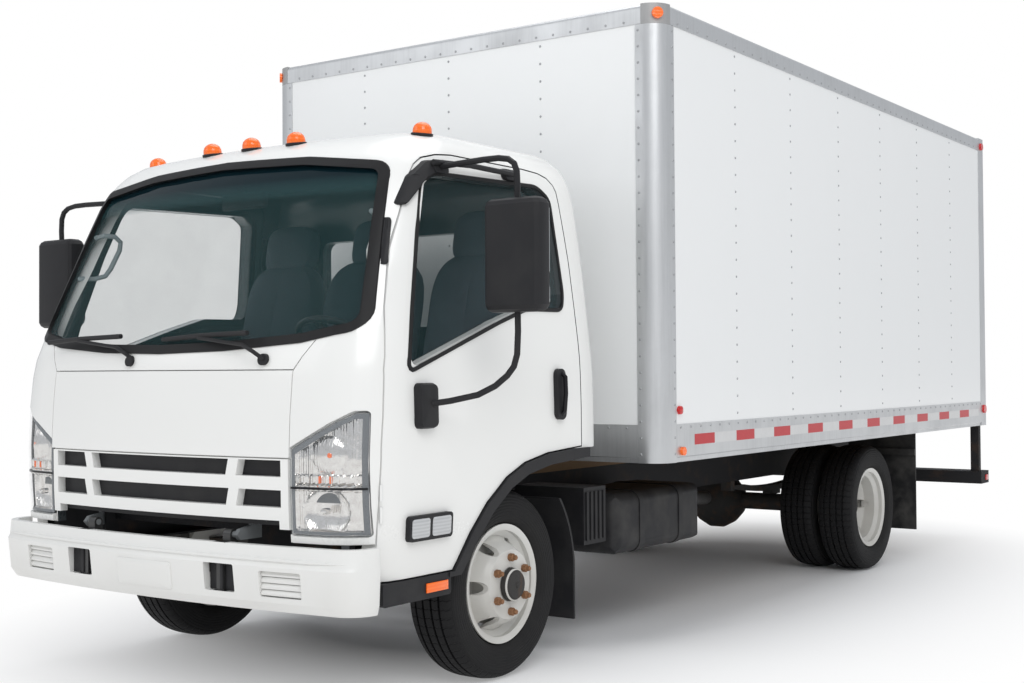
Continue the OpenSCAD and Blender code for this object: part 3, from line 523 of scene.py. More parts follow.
def block(bm, lo, hi, bevel=0.003, segments=2):
    """A box between two corners, with its edges taken off."""
    lo, hi = [min(p) for p in zip(lo, hi)], [max(p) for p in zip(lo, hi)]
    made = bmesh.ops.create_cube(bm, size=1.0)["verts"]
    for v in made:
        v.co = Vector([a + (b - a) * (c + 0.5) for a, b, c in zip(lo, hi, v.co)])
    if bevel:
        edges = list({e for v in made for e in v.link_edges})
        bmesh.ops.bevel(bm, geom=edges, offset=bevel, segments=segments, affect="EDGES",
                        profile=0.5)


def ring_loft(bm, rings, caps=True):
    """A skin over rings that all have the same number of points."""
    rows = [[bm.verts.new(p) for p in ring] for ring in rings]
    n = len(rows[0])
    for a, b in zip(rows, rows[1:]):
        for i in range(n):
            bm.faces.new((a[i], a[(i + 1) % n], b[(i + 1) % n], b[i]))
    if caps:
        bm.faces.new(rows[0])
        bm.faces.new(rows[-1])


def closed_loft(bm, rings):
    """A loft whose last ring joins its first."""
    ring_loft(bm, rings + rings[:1], caps=False)
    bmesh.ops.remove_doubles(bm, verts=bm.verts[:], dist=0.00001)


def circle(middle, side, up, r, n):
    """n points round a middle, in the plane of side and up."""
    turns = [k / n * math.tau for k in range(n)]
    return [middle + (side * math.cos(t) + up * math.sin(t)) * r for t in turns]


def tube(bm, points, r, n=12):
    """A round bar through the points."""
    pts = [Vector(p) for p in points]
    rings = []
    for i, p in enumerate(pts):
        way = (pts[min(i + 1, len(pts) - 1)] - pts[max(i - 1, 0)]).normalized()
        side = way.orthogonal() if i == 0 else side - way * side.dot(way)
        side.normalize()
        rings.append(circle(p, side, way.cross(side), r, n))
    ring_loft(bm, rings)


def turned(bm, profile, centre, axis, n=40):
    """A turned shape from (radius, distance along the axis) rows."""
    way = Vector(axis).normalized()
    side = way.orthogonal().normalized()
    up = way.cross(side)
    ring_loft(bm, [circle(Vector(centre) + way * a, side, up, r, n) for r, a in profile])


def steps(a, b, pitch):
    """Even steps from a to b, as near to the pitch as fits."""
    n = max(1, round((b - a) / pitch))
    return [a + (b - a) * k / n for k in range(n + 1)]


print("mesh tools ready")

# %% [markdown]
# A BVH tree sorts a mesh's faces, so that a ray quickly finds the one it meets.

# %% Outlines laid on CAD surfaces
class Touch:
    """Finds the first place that a ray meets on the named nodes."""

    def __init__(self, *names):
        meshes = [nodes[name].data for name in names]
        self.trees = [BVHTree.FromPolygons([v.co for v in m.vertices],
                                           [p.vertices for p in m.polygons]) for m in meshes]

    def __call__(self, start, way):
        hits = [t.ray_cast(Vector(start), Vector(way)) for t in self.trees]
        hits = [h for h in hits if h[0] is not None]
        return min(hits, key=lambda h: h[3])[0] if hits else None

    def front(self, x, z):
        """The surface's y at (x, z), met from the front."""
        return self((x, -5, z), (0, 1, 0)).y

    def flank(self, s, y, z):
        """The surface's distance from the middle at (y, z), met from side s."""
        return abs(self((s * 3, y, z), (-s, 0, 0)).x)


def rounded(u0, u1, v0, v1, r, n=5):
    """Points round a rectangle with rounded corners."""
    out = []
    for cu, cv, a0 in ((u1 - r, v1 - r, 0), (u0 + r, v1 - r, 90),
                       (u0 + r, v0 + r, 180), (u1 - r, v0 + r, 270)):
        for k in range(n + 1):
            a = math.radians(a0 + 90 * k / n)
            out.append((cu + r * math.cos(a), cv + r * math.sin(a)))
    return out


def softened(points, r, n=4):
    """The same outline with each corner turned in a short curve."""
    out = []
    for i, p in enumerate(points):
        p, a, b = (Vector(q).to_2d() for q in (p, points[i - 1], points[(i + 1) % len(points)]))
        ra, rb = min(r, (a - p).length * 0.4), min(r, (b - p).length * 0.4)
        a, b = p + (a - p).normalized() * ra, p + (b - p).normalized() * rb
        for k in range(n + 1):
            t = k / n
            out.append(tuple(a * (1 - t) ** 2 + p * 2 * t * (1 - t) + b * t * t))
    return out


SINK = 0.001


def laid_on(bm, touch, side, outline, lift, crown=0.0):
    """A lens or plate on a CAD surface: side 0 is the front (u is x), 1 or -1 a flank (u is y)."""
    mid = [sum(p[k] for p in outline) / len(outline) for k in (0, 1)]

    def spot(u, v, off):
        for step in (0.0, -0.012, 0.012):
            start, way = (u, -5, v + step), (0, 1, 0)
            if side:
                start, way = (side * 3, u, v + step), (-side, 0, 0)
            hit = touch(start, way)
            if hit is not None and (side == 0 or side * hit.x > 0.5):
                return hit - Vector(way) * off - Vector((0, 0, step))
        raise ValueError(f"nothing to lay on at {u:.3f}, {v:.3f}")

    rings = []
    for scale, off in ((1.0, -SINK), (1.0, lift * 0.6), (0.93, lift),
                       (0.5, lift + crown * 0.75), (0.02, lift + crown)):
        scaled = [[m + (c - m) * scale for m, c in zip(mid, p)] for p in outline]
        rings.append([spot(u, v, off) for u, v in scaled])
    ring_loft(bm, rings)


print("outline tools ready")

# %% [markdown]
# ## Repeated heads
# Rivets and wheel nuts repeat, so Geometry Nodes places them. A mesh of points holds where each
# goes, and its attribute `way` where it faces.

# %% Geometry Nodes for heads on points
def heads_group():
    g, new, join = new_group("heads_on_points", Head="Object", Material="Material")
    start, end = new("NodeGroupInput"), new("NodeGroupOutput")
    head, spread = new("GeometryNodeObjectInfo"), new("GeometryNodeInstanceOnPoints")
    way, turn = new("GeometryNodeInputNamedAttribute"), new("FunctionNodeAlignRotationToVector")
    real, coat = new("GeometryNodeRealizeInstances"), new("GeometryNodeSetMaterial")
    way.data_type = "FLOAT_VECTOR"
    way.inputs["Name"].default_value = "way"
    turn.axis = "Z"
    join(start, "Head", head, "Object")
    join(start, "Geometry", spread, "Points")
    join(head, "Geometry", spread, "Instance")
    join(way, 0, turn, "Vector")
    join(turn, 0, spread, "Rotation")
    join(spread, 0, real, 0)
    join(real, 0, coat, "Geometry")
    join(start, "Material", coat, "Material")
    join(coat, 0, end, 0)
    return g


HEADS = heads_group()
print("head nodes:", len(HEADS.nodes))

# %% [markdown]
# `heads` uses the group once, keeps the mesh that comes out of it and removes the points again.

# %% Make a set of heads
def heads(name, spots, profile, sides, look, body):
    """spots: (place, way) pairs; profile: (radius, height) rows of one turned head."""
    bm = bmesh.new()
    turned(bm, profile, (0, 0, 0), (0, 0, 1), sides)
    head = put("head", mesh_of("head", bm))
    mesh = bpy.data.meshes.new(name + "_points")
    mesh.from_pydata([p for p, w in spots], [], [])
    ways = mesh.attributes.new("way", "FLOAT_VECTOR", "POINT")
    ways.data.foreach_set("vector", [c for p, w in spots for c in w])
    holder = put(name + "_points", mesh)
    mod = holder.modifiers.new("heads", "NODES")
    mod.node_group = HEADS
    ids = {s.name: s.identifier for s in HEADS.interface.items_tree if s.in_out == "INPUT"}
    mod[ids["Head"]] = head
    mod[ids["Material"]] = MAT[look]
    bpy.context.view_layer.update()
    graph = bpy.context.evaluated_depsgraph_get()
    made = bpy.data.meshes.new_from_object(holder.evaluated_get(graph))
    for o in (head, holder):
        bpy.data.objects.remove(o)
    obj = put(name, made)
    smooth(obj)
    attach(obj, body)
    print(name, "heads:", len(spots), "faces:", len(made.polygons))


# %% [markdown]
# ## The load box
# Rivets hold the sheets to posts and rails. The side has seven bays, so six inner seams.

# %% Rivets
DOME = [(0.0062, -0.001), (0.0062, 0.0006), (0.0050, 0.0024), (0.0028, 0.0034), (0.0002, 0.0037)]
BAYS = 7
FRONTWARD = (0, -1, 0)


def spread(xs, ys, zs, way):
    """A spot at every crossing of the three lists, all facing one way."""
    return [((x, y, z), way) for x in xs for y in ys for z in zs]


bay = (BOX_REAR - BOX_FRONT - 0.2) / BAYS
side_seams = [Y(BOX_FRONT + 0.1 + bay * k) for k in range(1, BAYS)]
seam_z, post_z, rail_z = steps(1.05, 2.83, 0.085), steps(0.88, 2.83, 0.075), (1.000, 2.874)
rail_y = steps(Y(BOX_FRONT + 0.17), Y(BOX_REAR - 0.13), 0.1)
white_spots = spread((-0.56, 0.0, 0.56), [Y(BOX_FRONT + 0.004)], seam_z, FRONTWARD)
rail_spots = spread(steps(-1.03, 1.03, 0.1), [Y(BOX_FRONT)], rail_z, FRONTWARD)
for s in SIDES:
    white_spots += spread([s * PANEL_X], side_seams, seam_z, (s, 0, 0))
    rail_spots += spread([s * BOX_HW], [Y(BOX_FRONT + 0.115)], post_z, (s, 0, 0))
    rail_spots += spread([s * BOX_HW], rail_y, rail_z, (s, 0, 0))
    rail_spots += spread([s * 1.104], [Y(BOX_FRONT)], post_z, FRONTWARD)
    rail_spots += spread([s * 1.18], [Y(BOX_REAR)], steps(1.0, 2.7, 0.12), (0, 1, 0))
heads("panel_rivets", white_spots, DOME, 10, "rivet", "chassis")
heads("rail_rivets", rail_spots, DOME, 10, "rivet", "chassis")

# %% [markdown]
# Red and silver tape runs along the bottom rail, with a marker lamp near each front post.

# %% Marking tape and marker lamps
TAPE_PITCH, TAPE_RED = 0.440, 0.205
TAPE_IN, TAPE_OUT, TAPE_Z0, TAPE_Z1 = 1.2188, 1.2196, 0.914, 0.964
bm_red, bm_silver = bmesh.new(), bmesh.new()
for s in SIDES:
    y = Y(BOX_FRONT + 0.305)
    while y + TAPE_RED < Y(BOX_REAR - 0.05):
        change, end = y + TAPE_RED, min(y + TAPE_PITCH, Y(BOX_REAR - 0.02))
        block(bm_red, (s * TAPE_IN, y, TAPE_Z0), (s * TAPE_OUT, change, TAPE_Z1), 0)
        block(bm_silver, (s * TAPE_IN, change, TAPE_Z0), (s * TAPE_OUT, end, TAPE_Z1), 0)
        y += TAPE_PITCH
piece("tape_red", bm_red, "tape_red", "chassis")
piece("tape_silver", bm_silver, "tape_silver", "chassis")
side_wall = Touch("box_panels", "box_bottom_rails")
bm_red = bmesh.new()
for s in SIDES:
    laid_on(bm_red, side_wall, s, rounded(Y(1.0), Y(1.04), 1.06, 1.10, 0.019), 0.014, 0.004)
piece("side_markers", bm_red, "red", "chassis")
print("tape and markers done")

# %% [markdown]
# The roll-up door has a latch and two grips, and the rear bumper has a reflector at each end.

# %% Rear latch and reflectors
y = Touch("box_rollup_door")((0.0, 6, 1.0), (0, -1, 0)).y
bm = bmesh.new()
block(bm, (-0.075, y - 0.001, 0.955), (0.075, y + 0.005, 1.045), 0.002)
block(bm, (-0.020, y + 0.004, 0.965), (0.020, y + 0.022, 1.030), 0.004)
tube(bm, [(-0.10, y + 0.018, 1.000), (0.02, y + 0.018, 1.004), (0.11, y + 0.026, 1.012)], 0.009)
for s in SIDES:
    grip = [(0.36, -0.002, 1.03), (0.36, 0.030, 1.035), (0.40, 0.034, 1.035),
            (0.48, 0.034, 1.035), (0.52, 0.030, 1.035), (0.52, -0.002, 1.03)]
    tube(bm, [(s * x, y + out, z) for x, out, z in grip], 0.008)
piece("rear_latch", bm, "steel", "chassis")
low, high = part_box("rear_bumper")
bm = bmesh.new()
for s in SIDES:
    block(bm, (s * (high[0] - 0.001), high[1] - 0.085, low[2] + 0.022),
          (s * (high[0] + 0.005), high[1] - 0.02, low[2] + 0.062), 0.002)
piece("bumper_reflectors", bm, "red", "chassis")
print("rear fittings done")

# %% [markdown]
# ## Wheels
# Six nuts on each wheel, gone brown, and a dark cap over each hub.

# %% Wheel nuts and hub caps
NUT = [(0.0165, -0.001), (0.0165, 0.020), (0.0125, 0.0235), (0.0105, 0.0235), (0.0105, 0.034),
       (0.0085, 0.036)]
NUT_RING = 0.1111
# For each hub: its axle, x of the nuts' face, x of the cap's tip, the cap's radius.
FRONT_HUB, REAR_HUB = (0, 0.975, 1.0135, 0.0672), (WHEELBASE, 0.857, 0.957, 0.0702)
wheels = [(stem + side, s, *hub) for stem, hub in
          (("front_wheel_", FRONT_HUB), ("rear_wheels_", REAR_HUB)) for side, s in DOOR_SIDES]
for body, s, y, face, tip, r in wheels:
    spots = []
    for k in range(6):
        a = math.radians(30 + 60 * k)
        place = (s * face, Y(y) + NUT_RING * math.cos(a), TYRE_R + NUT_RING * math.sin(a))
        spots.append((place, (s, 0, 0)))
    heads(body + "_nuts", spots, NUT, 6, "rust", body)
    bm = bmesh.new()
    cap = [(r, face + 0.001), (r, tip - 0.016), (r - 0.012, tip - 0.001), (r - 0.030, tip + 0.002),
           (0.014, tip + 0.0025), (0.011, tip + 0.008), (0.001, tip + 0.009)]
    turned(bm, cap, (0, Y(y), TYRE_R), (s, 0, 0))
    piece(body + "_cap", bm, "iron", body)

# %% [markdown]
# ## Bumper, door fittings and mirrors
# The bumper's small pieces follow its bowed face, which a ray from the front finds at each x.

# %% Bumper pockets, vents, lip and blank plate
bumper = Touch("front_bumper")
FACE_Z, LIP_Z, LIP_END = 0.60, 0.585, 0.98
SLAT = ((0.006, 0.003), (0.004, 0.010), (0.013, 0.0228), (0.024, 0.0228), (0.024, 0.0))
LIP = ((0.005, 0.011), (-0.006, 0.005), (-0.007, -0.002), (0.005, -0.011))
bm_black, bm_vent, bm_plate = bmesh.new(), bmesh.new(), bmesh.new()
for s in SIDES:
    y = bumper.front(s * 0.405, FACE_Z)
    block(bm_black, (s * 0.331, y + 0.022, 0.456), (s * 0.479, y + 0.030, 0.559), 0.002)
    block(bm_black, (s * 0.397, y + 0.008, 0.458), (s * 0.413, y + 0.026, 0.557), 0.003)
    for k in range(4):
        z = 0.452 + 0.0232 * k
        ring_loft(bm_vent, [[(s * x, bumper.front(s * x, FACE_Z) + d, z + h) for d, h in SLAT]
                            for x in steps(0.602, 0.788, 0.03)])
lip = []
for x in steps(-LIP_END, LIP_END, 0.02):
    swell = min(1.0, (LIP_END + 0.01 - abs(x)) / 0.16)
    y = bumper.front(x, LIP_Z)
    lip.append([(x, y + d * swell, LIP_Z + h * swell) for d, h in LIP])
ring_loft(bm_plate, lip)
laid_on(bm_plate, bumper, 0, rounded(-0.155, 0.155, 0.44, 0.545, 0.01), 0.006)
piece("bumper_pockets", bm_black, "black", "chassis")
piece("bumper_vents", bm_vent, "bumper", "chassis")
piece("blank_plate", bm_plate, "bumper", "chassis")
print("bumper pieces done")

# %% [markdown]
# Pieces on a door ride on that door's body, so they swing with it.

# %% Door lamps, step reflectors and mirror glass
for side, s in DOOR_SIDES:
    body = "door_" + side
    trim = Touch("door_trim_" + side)
    bm = bmesh.new()
    for y0, y1 in ((-0.716, -0.612), (-0.596, -0.484)):
        laid_on(bm, trim, s, rounded(Y(y0), Y(y1), 0.652, 0.723, 0.012), 0.004, 0.004)
    piece("door_lamp_" + side, bm, "side_lens", body)
    bm = bmesh.new()
    block(bm, (s * 1.016, Y(-0.60), 0.437), (s * 1.0225, Y(-0.47), 0.473), 0.002)
    piece("step_reflector_" + side, bm, "amber", "cab")
    bm = bmesh.new()
    lo, hi = sorted((s * 1.232, s * 1.452))
    for z0, z1 in ((1.615, 1.893), (1.502, 1.600)):
        ring = rounded(lo, hi, z0, z1, 0.025)
        ring_loft(bm, [[(x, Y(y), z) for x, z in ring] for y in (-0.4065, -0.4035)])
    piece("mirror_glass_" + side, bm, "mirror", body)
print("door fittings done")

# %% [markdown]
# ## Headlamps
# One height map per lamp, seen from the front, is the bright reflector behind the clear lens: a
# round bowl below, a swelling above, flutes and four small posts between.

# %% Headlamp height map
LAMP_IN, LAMP_OUT, LAMP_Z0, LAMP_Z1 = 0.697, 0.978, 0.678, 1.118
SPLIT_Z, SHALLOW, LAMP_ROWS = 0.846, 0.009, 66
BOWL_X, BOWL_Z, BOWL_R = 0.822, 0.760, 0.094
SWELL_X, SWELL_Z, SWELL_R = 0.838, 0.968, 0.070


def lamp_top(x):
    """The upper edge, which rises towards the outside."""
    return min(LAMP_Z1, 0.982 + (x - 0.692) / 0.253 * 0.136)


def lamp_depth(x, z):
    """How far the reflector lies behind the lens."""
    low = math.hypot(x - BOWL_X, z - BOWL_Z) / BOWL_R
    high = math.hypot(x - SWELL_X, z - SWELL_Z) / SWELL_R
    depth = 0.030 + 0.0015 * math.cos(x * 620)
    if low < 1:
        depth = 0.026 + 0.046 * (1 - low ** 2) ** 0.5
    if high < 1:
        depth = 0.034 - 0.022 * (1 - high ** 2) ** 0.5 + 0.0012 * math.cos(x * 900)
    if 0.862 < z < 0.893:
        depth = 0.018 + 0.0012 * math.cos(x * 800)
    if abs(z - SPLIT_Z) < 0.010:
        depth = SHALLOW
    return depth


print("depth in the bowl:", lamp_depth(BOWL_X, BOWL_Z))

# %% [markdown]
# The reflector is a grid of points pushed back from the lens, then given a thickness.

# %% Reflector and frame
lens_face = Touch("headlamp_lenses")


def lamp_reflector(s):
    bm, grid = bmesh.new(), []
    for x in steps(LAMP_IN, LAMP_OUT, 0.0045):
        top, column = lamp_top(x), []
        for z in steps(LAMP_Z0, top, (top - LAMP_Z0) / LAMP_ROWS):
            edge = min(x - LAMP_IN, LAMP_OUT - x, z - LAMP_Z0, top - z) / 0.012
            depth = SHALLOW + (lamp_depth(x, z) - SHALLOW) * min(1.0, edge)
            column.append(bm.verts.new((s * x, lens_face.front(s * x, z) + depth, z)))
        grid.append(column)
    for a, b in zip(grid, grid[1:]):
        for i in range(LAMP_ROWS):
            bm.faces.new((a[i], a[i + 1], b[i + 1], b[i]))
    bm.normal_update()
    bmesh.ops.solidify(bm, geom=bm.faces[:], thickness=-0.002)
    return bm


def lamp_frame(s):
    outer = [(LAMP_OUT, LAMP_Z0), (LAMP_OUT, LAMP_Z1), (0.945, LAMP_Z1), (LAMP_IN, 0.985),
             (LAMP_IN, LAMP_Z0)]
    inner = [(LAMP_OUT - 0.016, LAMP_Z0 + 0.012), (LAMP_OUT - 0.016, LAMP_Z1 - 0.02),
             (0.940, LAMP_Z1 - 0.02), (LAMP_IN + 0.012, 0.968), (LAMP_IN + 0.012, LAMP_Z0 + 0.012)]
    rings = []
    for i in range(5):
        for t in (0, 0.25, 0.5, 0.75):
            (xo, zo), (xi, zi) = ([a + (b - a) * t for a, b in zip(line[i], line[(i + 1) % 5])]
                                  for line in (outer, inner))
            yo, yi = lens_face.front(s * xo, zo), lens_face.front(s * xi, zi)
            rings.append([(s * xo, yo + 0.0065, zo), (s * xi, yi + 0.0065, zi),
                          (s * xi, yi + 0.010, zi), (s * xo, yo + 0.010, zo)])
    bm = bmesh.new()
    closed_loft(bm, rings)
    return bm


print("lamp makers ready")

# %% [markdown]
# Two bulbs, four posts and a dark bar. The left reflector stands for the CAD housings.

# %% Headlamps
BULB = [(0.012, 0.050), (0.012, 0.022), (0.009, 0.016), (0.001, 0.014)]
AMBER_BULB = [(0.010, 0.020), (0.010, 0.012), (0.006, 0.0095), (0.001, 0.009)]
BAR = ((-0.001, -0.004), (-0.001, 0.004), (0.004, 0.004), (0.004, -0.004))
for side, s in DOOR_SIDES:
    reflector = piece("lamp_reflector_" + side, lamp_reflector(s), "bright", "cab")
    if s > 0:
        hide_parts("headlamp_housings")
    bm_bulb, bm_amber, bm_dark = bmesh.new(), bmesh.new(), bmesh.new()
    y = lens_face.front(s * BOWL_X, BOWL_Z)
    turned(bm_bulb, BULB, (s * BOWL_X, y, 0.762), (0, 1, 0), 20)
    for k in range(4):
        x = 0.722 + 0.046 * k
        y = lens_face.front(s * x, 0.878)
        out = bm_bulb if k < 2 else bm_amber
        block(out, (s * (x - 0.003), y + 0.011, 0.864), (s * (x + 0.003), y + 0.017, 0.891), 0.001)
    y = lens_face.front(s * 0.862, 0.966)
    turned(bm_amber, AMBER_BULB, (s * 0.856, y, 0.966), (0, 1, 0), 16)
    ring_loft(bm_dark, [[(s * x, lens_face.front(s * x, SPLIT_Z) + d, SPLIT_Z + h) for d, h in BAR]
                        for x in steps(LAMP_IN, LAMP_OUT, 0.02)])
    piece("lamp_frame_" + side, lamp_frame(s), "lamp_frame", "cab")
    piece("lamp_bulb_" + side, bm_bulb, "bright", "cab")
    piece("lamp_amber_" + side, bm_amber, "amber", "cab")
    piece("lamp_split_" + side, bm_dark, "gloss_black", "cab")
print("headlamps done")

# %% [markdown]
# ## Door windows and mirror feet
# The rubber round each window follows the CAD's own outline, and a flat frame does so inside.

# %% Window rubber tools
def outward(outline, i, width):
    """A step outwards from point i of an anticlockwise outline."""
    (u0, v0), (u1, v1) = outline[i - 1], outline[(i + 1) % len(outline)]
    run = math.hypot(u1 - u0, v1 - v0)
    return (v1 - v0) / run * width, -(u1 - u0) / run * width


def strip_on(bm, touch, s, outline, width, lift):
    """A closed strip along an outline (y, z) on a flank, widening outwards."""
    rings = []
    for i, (u, v) in enumerate(outline):
        nu, nv = outward(outline, i, width)
        x = s * touch.flank(s, u + nu, v + nv)
        rings.append([(x - s * 0.004, u, v), (x + s * lift, u, v),
                      (x + s * lift, u + nu * 0.8, v + nv * 0.8), (x, u + nu, v + nv)])
    closed_loft(bm, rings)


def frame_on(bm, touch, s, outline, width, lift):
    """A closed flat frame round the same outline, on the door's inner face."""
    rings, x = [], s * 0.93
    for i, (u, v) in enumerate(outline):
        nu, nv = outward(outline, i, width)
        inner = touch((s * 0.5, u + nu * 0.5, v + nv * 0.5), (s, 0, 0))
        x = inner.x if inner is not None else x
        deep, face = x + s * 0.002, x - s * lift
        rings.append([(deep, u, v), (face, u, v), (face, u + nu, v + nv), (deep, u + nu, v + nv)])
    closed_loft(bm, rings)


def placed(outline):
    """An outline counted from the front axle, moved into the frame."""
    return [(Y(u), v) for u, v in outline]


print("window tools ready")

# %% [markdown]
# The mirror's arms end in dark feet on the door, and a bar joins the upper two.

# %% Window rubbers, mirror feet and grips
WINDOW = [(-0.705, 1.275), (-0.650, 1.505), (-0.575, 1.780), (-0.500, 1.995), (-0.440, 2.032),
          (0.270, 2.052), (0.345, 2.010), (0.368, 1.600), (0.350, 1.535), (0.090, 1.532),
          (-0.120, 1.470)]
TOP_FOOT = [(-0.475, 2.088), (-0.56, 2.02), (-0.63, 1.905), (-0.605, 1.90), (-0.50, 2.035),
            (-0.37, 2.075), (-0.37, 2.10)]
GRIP = ((-0.004, 0.29, 1.255), (0.012, 0.29, 1.24), (0.016, 0.288, 1.17), (0.012, 0.284, 1.095),
        (-0.004, 0.283, 1.08))
VENT = [(-0.674, 1.852), (-0.736, 1.668), (-0.716, 1.668), (-0.654, 1.852)]
rubber_line = placed(softened(WINDOW, 0.03))[::-1]
for side, s in DOOR_SIDES:
    body = "door_" + side
    door = Touch(body, "door_glass_" + side, "cab_shell")
    bm = bmesh.new()
    strip_on(bm, door, s, rubber_line, 0.017, 0.006)
    piece("window_rubber_" + side, bm, "rubber", body)
    bm = bmesh.new()
    frame_on(bm, Touch(body), s, rubber_line, 0.034, 0.008)
    piece("window_frame_" + side, bm, "black", body)
    bm = bmesh.new()
    laid_on(bm, door, s, softened(placed(TOP_FOOT), 0.012), 0.022, 0.008)
    laid_on(bm, door, s, rounded(Y(0.02), Y(0.12), 2.063, 2.112, 0.015), 0.022, 0.004)
    laid_on(bm, door, s, rounded(Y(-0.685), Y(-0.58), 1.055, 1.225, 0.022), 0.036, 0.006)
    x0 = door.flank(s, Y(-0.42), 2.08) + 0.034
    x1 = door.flank(s, Y(0.07), 2.09) + 0.026
    tube(bm, [(s * x0, Y(-0.47), 2.078), (s * (x0 + 0.012), Y(-0.25), 2.088),
              (s * x1, Y(0.08), 2.09)], 0.011)
    piece("mirror_feet_" + side, bm, "black", body)
    bm = bmesh.new()
    face = Touch("door_trim_" + side).flank(s, Y(0.283), 1.16)
    tube(bm, [(s * (face + out), Y(y), z) for out, y, z in GRIP], 0.0095)
    piece("door_grip_" + side, bm, "gloss_black", body)
bm = bmesh.new()
for s in SIDES:
    laid_on(bm, Touch("cab_shell", "cab_glass"), s, softened(placed(VENT), 0.014), 0.010, 0.004)
piece("pillar_vents", bm, "black", "cab")
print("door windows done")

# %% [markdown]
# ## Inside the cab
# Cushions swell in the middle and are pinched at a seam. They stand in for the plain CAD seats.

# %% Seats
SEATS = [("seat_right", -0.61, 0.235), ("seat_middle", -0.03, 0.29), ("seat_driver", 0.58, 0.245)]
SQUARED, GROOVE, PINCH = 4.0, 0.006, 0.012


def cushion(bm, centre, half, degrees, n=22, tufts=3):
    """A squared-off ball with a seam round it and shallow grooves across."""
    turn = Matrix.Rotation(math.radians(degrees), 3, "X")
    rings = []
    for i in range(n + 1):
        lat = math.pi * (i / n - 0.5) * 0.985
        ring = []
        for k in range(2 * n):
            lon = math.tau * k / (2 * n)
            p = Vector((math.cos(lat) * math.cos(lon), math.cos(lat) * math.sin(lon), math.sin(lat)))
            p *= sum(abs(c) ** SQUARED for c in p) ** (-1 / SQUARED)
            groove = 0.0
            if tufts:
                wave = math.sin(p.x * math.pi * tufts / 2)
                groove = GROOVE * math.exp(-(wave ** 2) * 40) * max(0.0, p.z)
            pinch = PINCH * math.exp(-((p.z - 0.55) / 0.05) ** 2)
            q = Vector((p.x * (half[0] - pinch), p.y * (half[1] - pinch), p.z * half[2] - groove))
            ring.append(Vector(centre) + turn @ q)
        rings.append(ring)
    ring_loft(bm, rings)


for name, x, hw in SEATS:
    bm = bmesh.new()
    cushion(bm, (x, Y(-0.06), 1.135), (hw, 0.255, 0.085), -5)
    cushion(bm, (x, Y(0.285), 1.47), (hw * 0.97, 0.33, 0.075), 77)
    cushion(bm, (x, Y(0.372), 1.868), (0.155, 0.122, 0.055), 80, 16, 0)
    for k in (-0.05, 0.05):
        tube(bm, [(x + k, Y(0.36), 1.76), (x + k, Y(0.37), 1.86)], 0.006, 10)
    obj = piece(name, bm, "fabric", "cab")
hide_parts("seats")

# %% [markdown]
# The grab handles start and end where a ray from the middle meets the windscreen pillar.

# %% Inside mirror, grab handles and belts
bm = bmesh.new()
block(bm, (-0.13, Y(-0.555), 1.955), (0.13, Y(-0.53), 2.025), 0.011, 3)
tube(bm, [(0, Y(-0.545), 2.01), (0, Y(-0.55), 2.05), (0, Y(-0.52), 2.10)], 0.008)
piece("inside_mirror", bm, "black", "cab")

BOW = [(0.790, -0.640, 1.884), (0.768, -0.600, 1.880), (0.765, -0.572, 1.858),
       (0.768, -0.575, 1.820), (0.785, -0.612, 1.735), (0.795, -0.632, 1.703),
       (0.820, -0.668, 1.690)]
WEB = ((0.010, -0.024), (0.010, 0.024), (0.013, 0.024), (0.013, -0.024))
shell, pillar = Touch("cab_shell"), Touch("cab_shell", "windscreen_seal")
bm_grab, bm_belt = bmesh.new(), bmesh.new()
for s in SIDES:
    top, low = (pillar((s * 0.7, Y(y), z), (s, 0, 0))
                for y, z in ((-0.650, 1.875), (-0.715, 1.690)))
    tube(bm_grab, [top] + [(s * x, Y(y), z) for x, y, z in BOW] + [low], 0.011)
    belt = [shell((s * 0.5, Y(0.462), z), (s, 0, 0)) for z in steps(1.62, 1.92, 0.05)]
    ring_loft(bm_belt, [[p + Vector((-s * d, w, 0)) for d, w in WEB] for p in belt])
    block(bm_belt, belt[-1] + Vector((0, -0.034, -0.036)),
          belt[-1] + Vector((-s * 0.026, 0.034, 0.036)), 0.008, 3)
piece("grab_handles", bm_grab, "handle", "cab")
piece("seat_belts", bm_belt, "black", "cab")
print("cab fittings done")

# %% [markdown]
# The hood over the instruments is a loft of five arches, low and narrow at the windscreen.

# %% Instrument hood
HOOD_X, HOOD_Z = 0.56, 1.308
HOOD_ROWS = ((-0.790, 0.19, 0.004), (-0.755, 0.215, 0.045), (-0.70, 0.225, 0.066),
             (-0.63, 0.222, 0.070), (-0.60, 0.215, 0.066))
arch = [(math.cos(math.pi * k / 24), math.sin(math.pi * k / 24)) for k in range(25)]
hood = [[(HOOD_X + half * math.copysign(abs(c) ** 0.55, c), Y(y), HOOD_Z + (0.03 + rise) * h ** 0.7)
         for c, h in arch] for y, half, rise in HOOD_ROWS]
bm = bmesh.new()
ring_loft(bm, hood)
piece("instrument_hood", bm, "trim", "cab")
print("hood arches:", len(hood))

# %% [markdown]
# ## Roof lamps
# Five amber domes on dark feet lean half way with the roof. They stand for the CAD lamps.

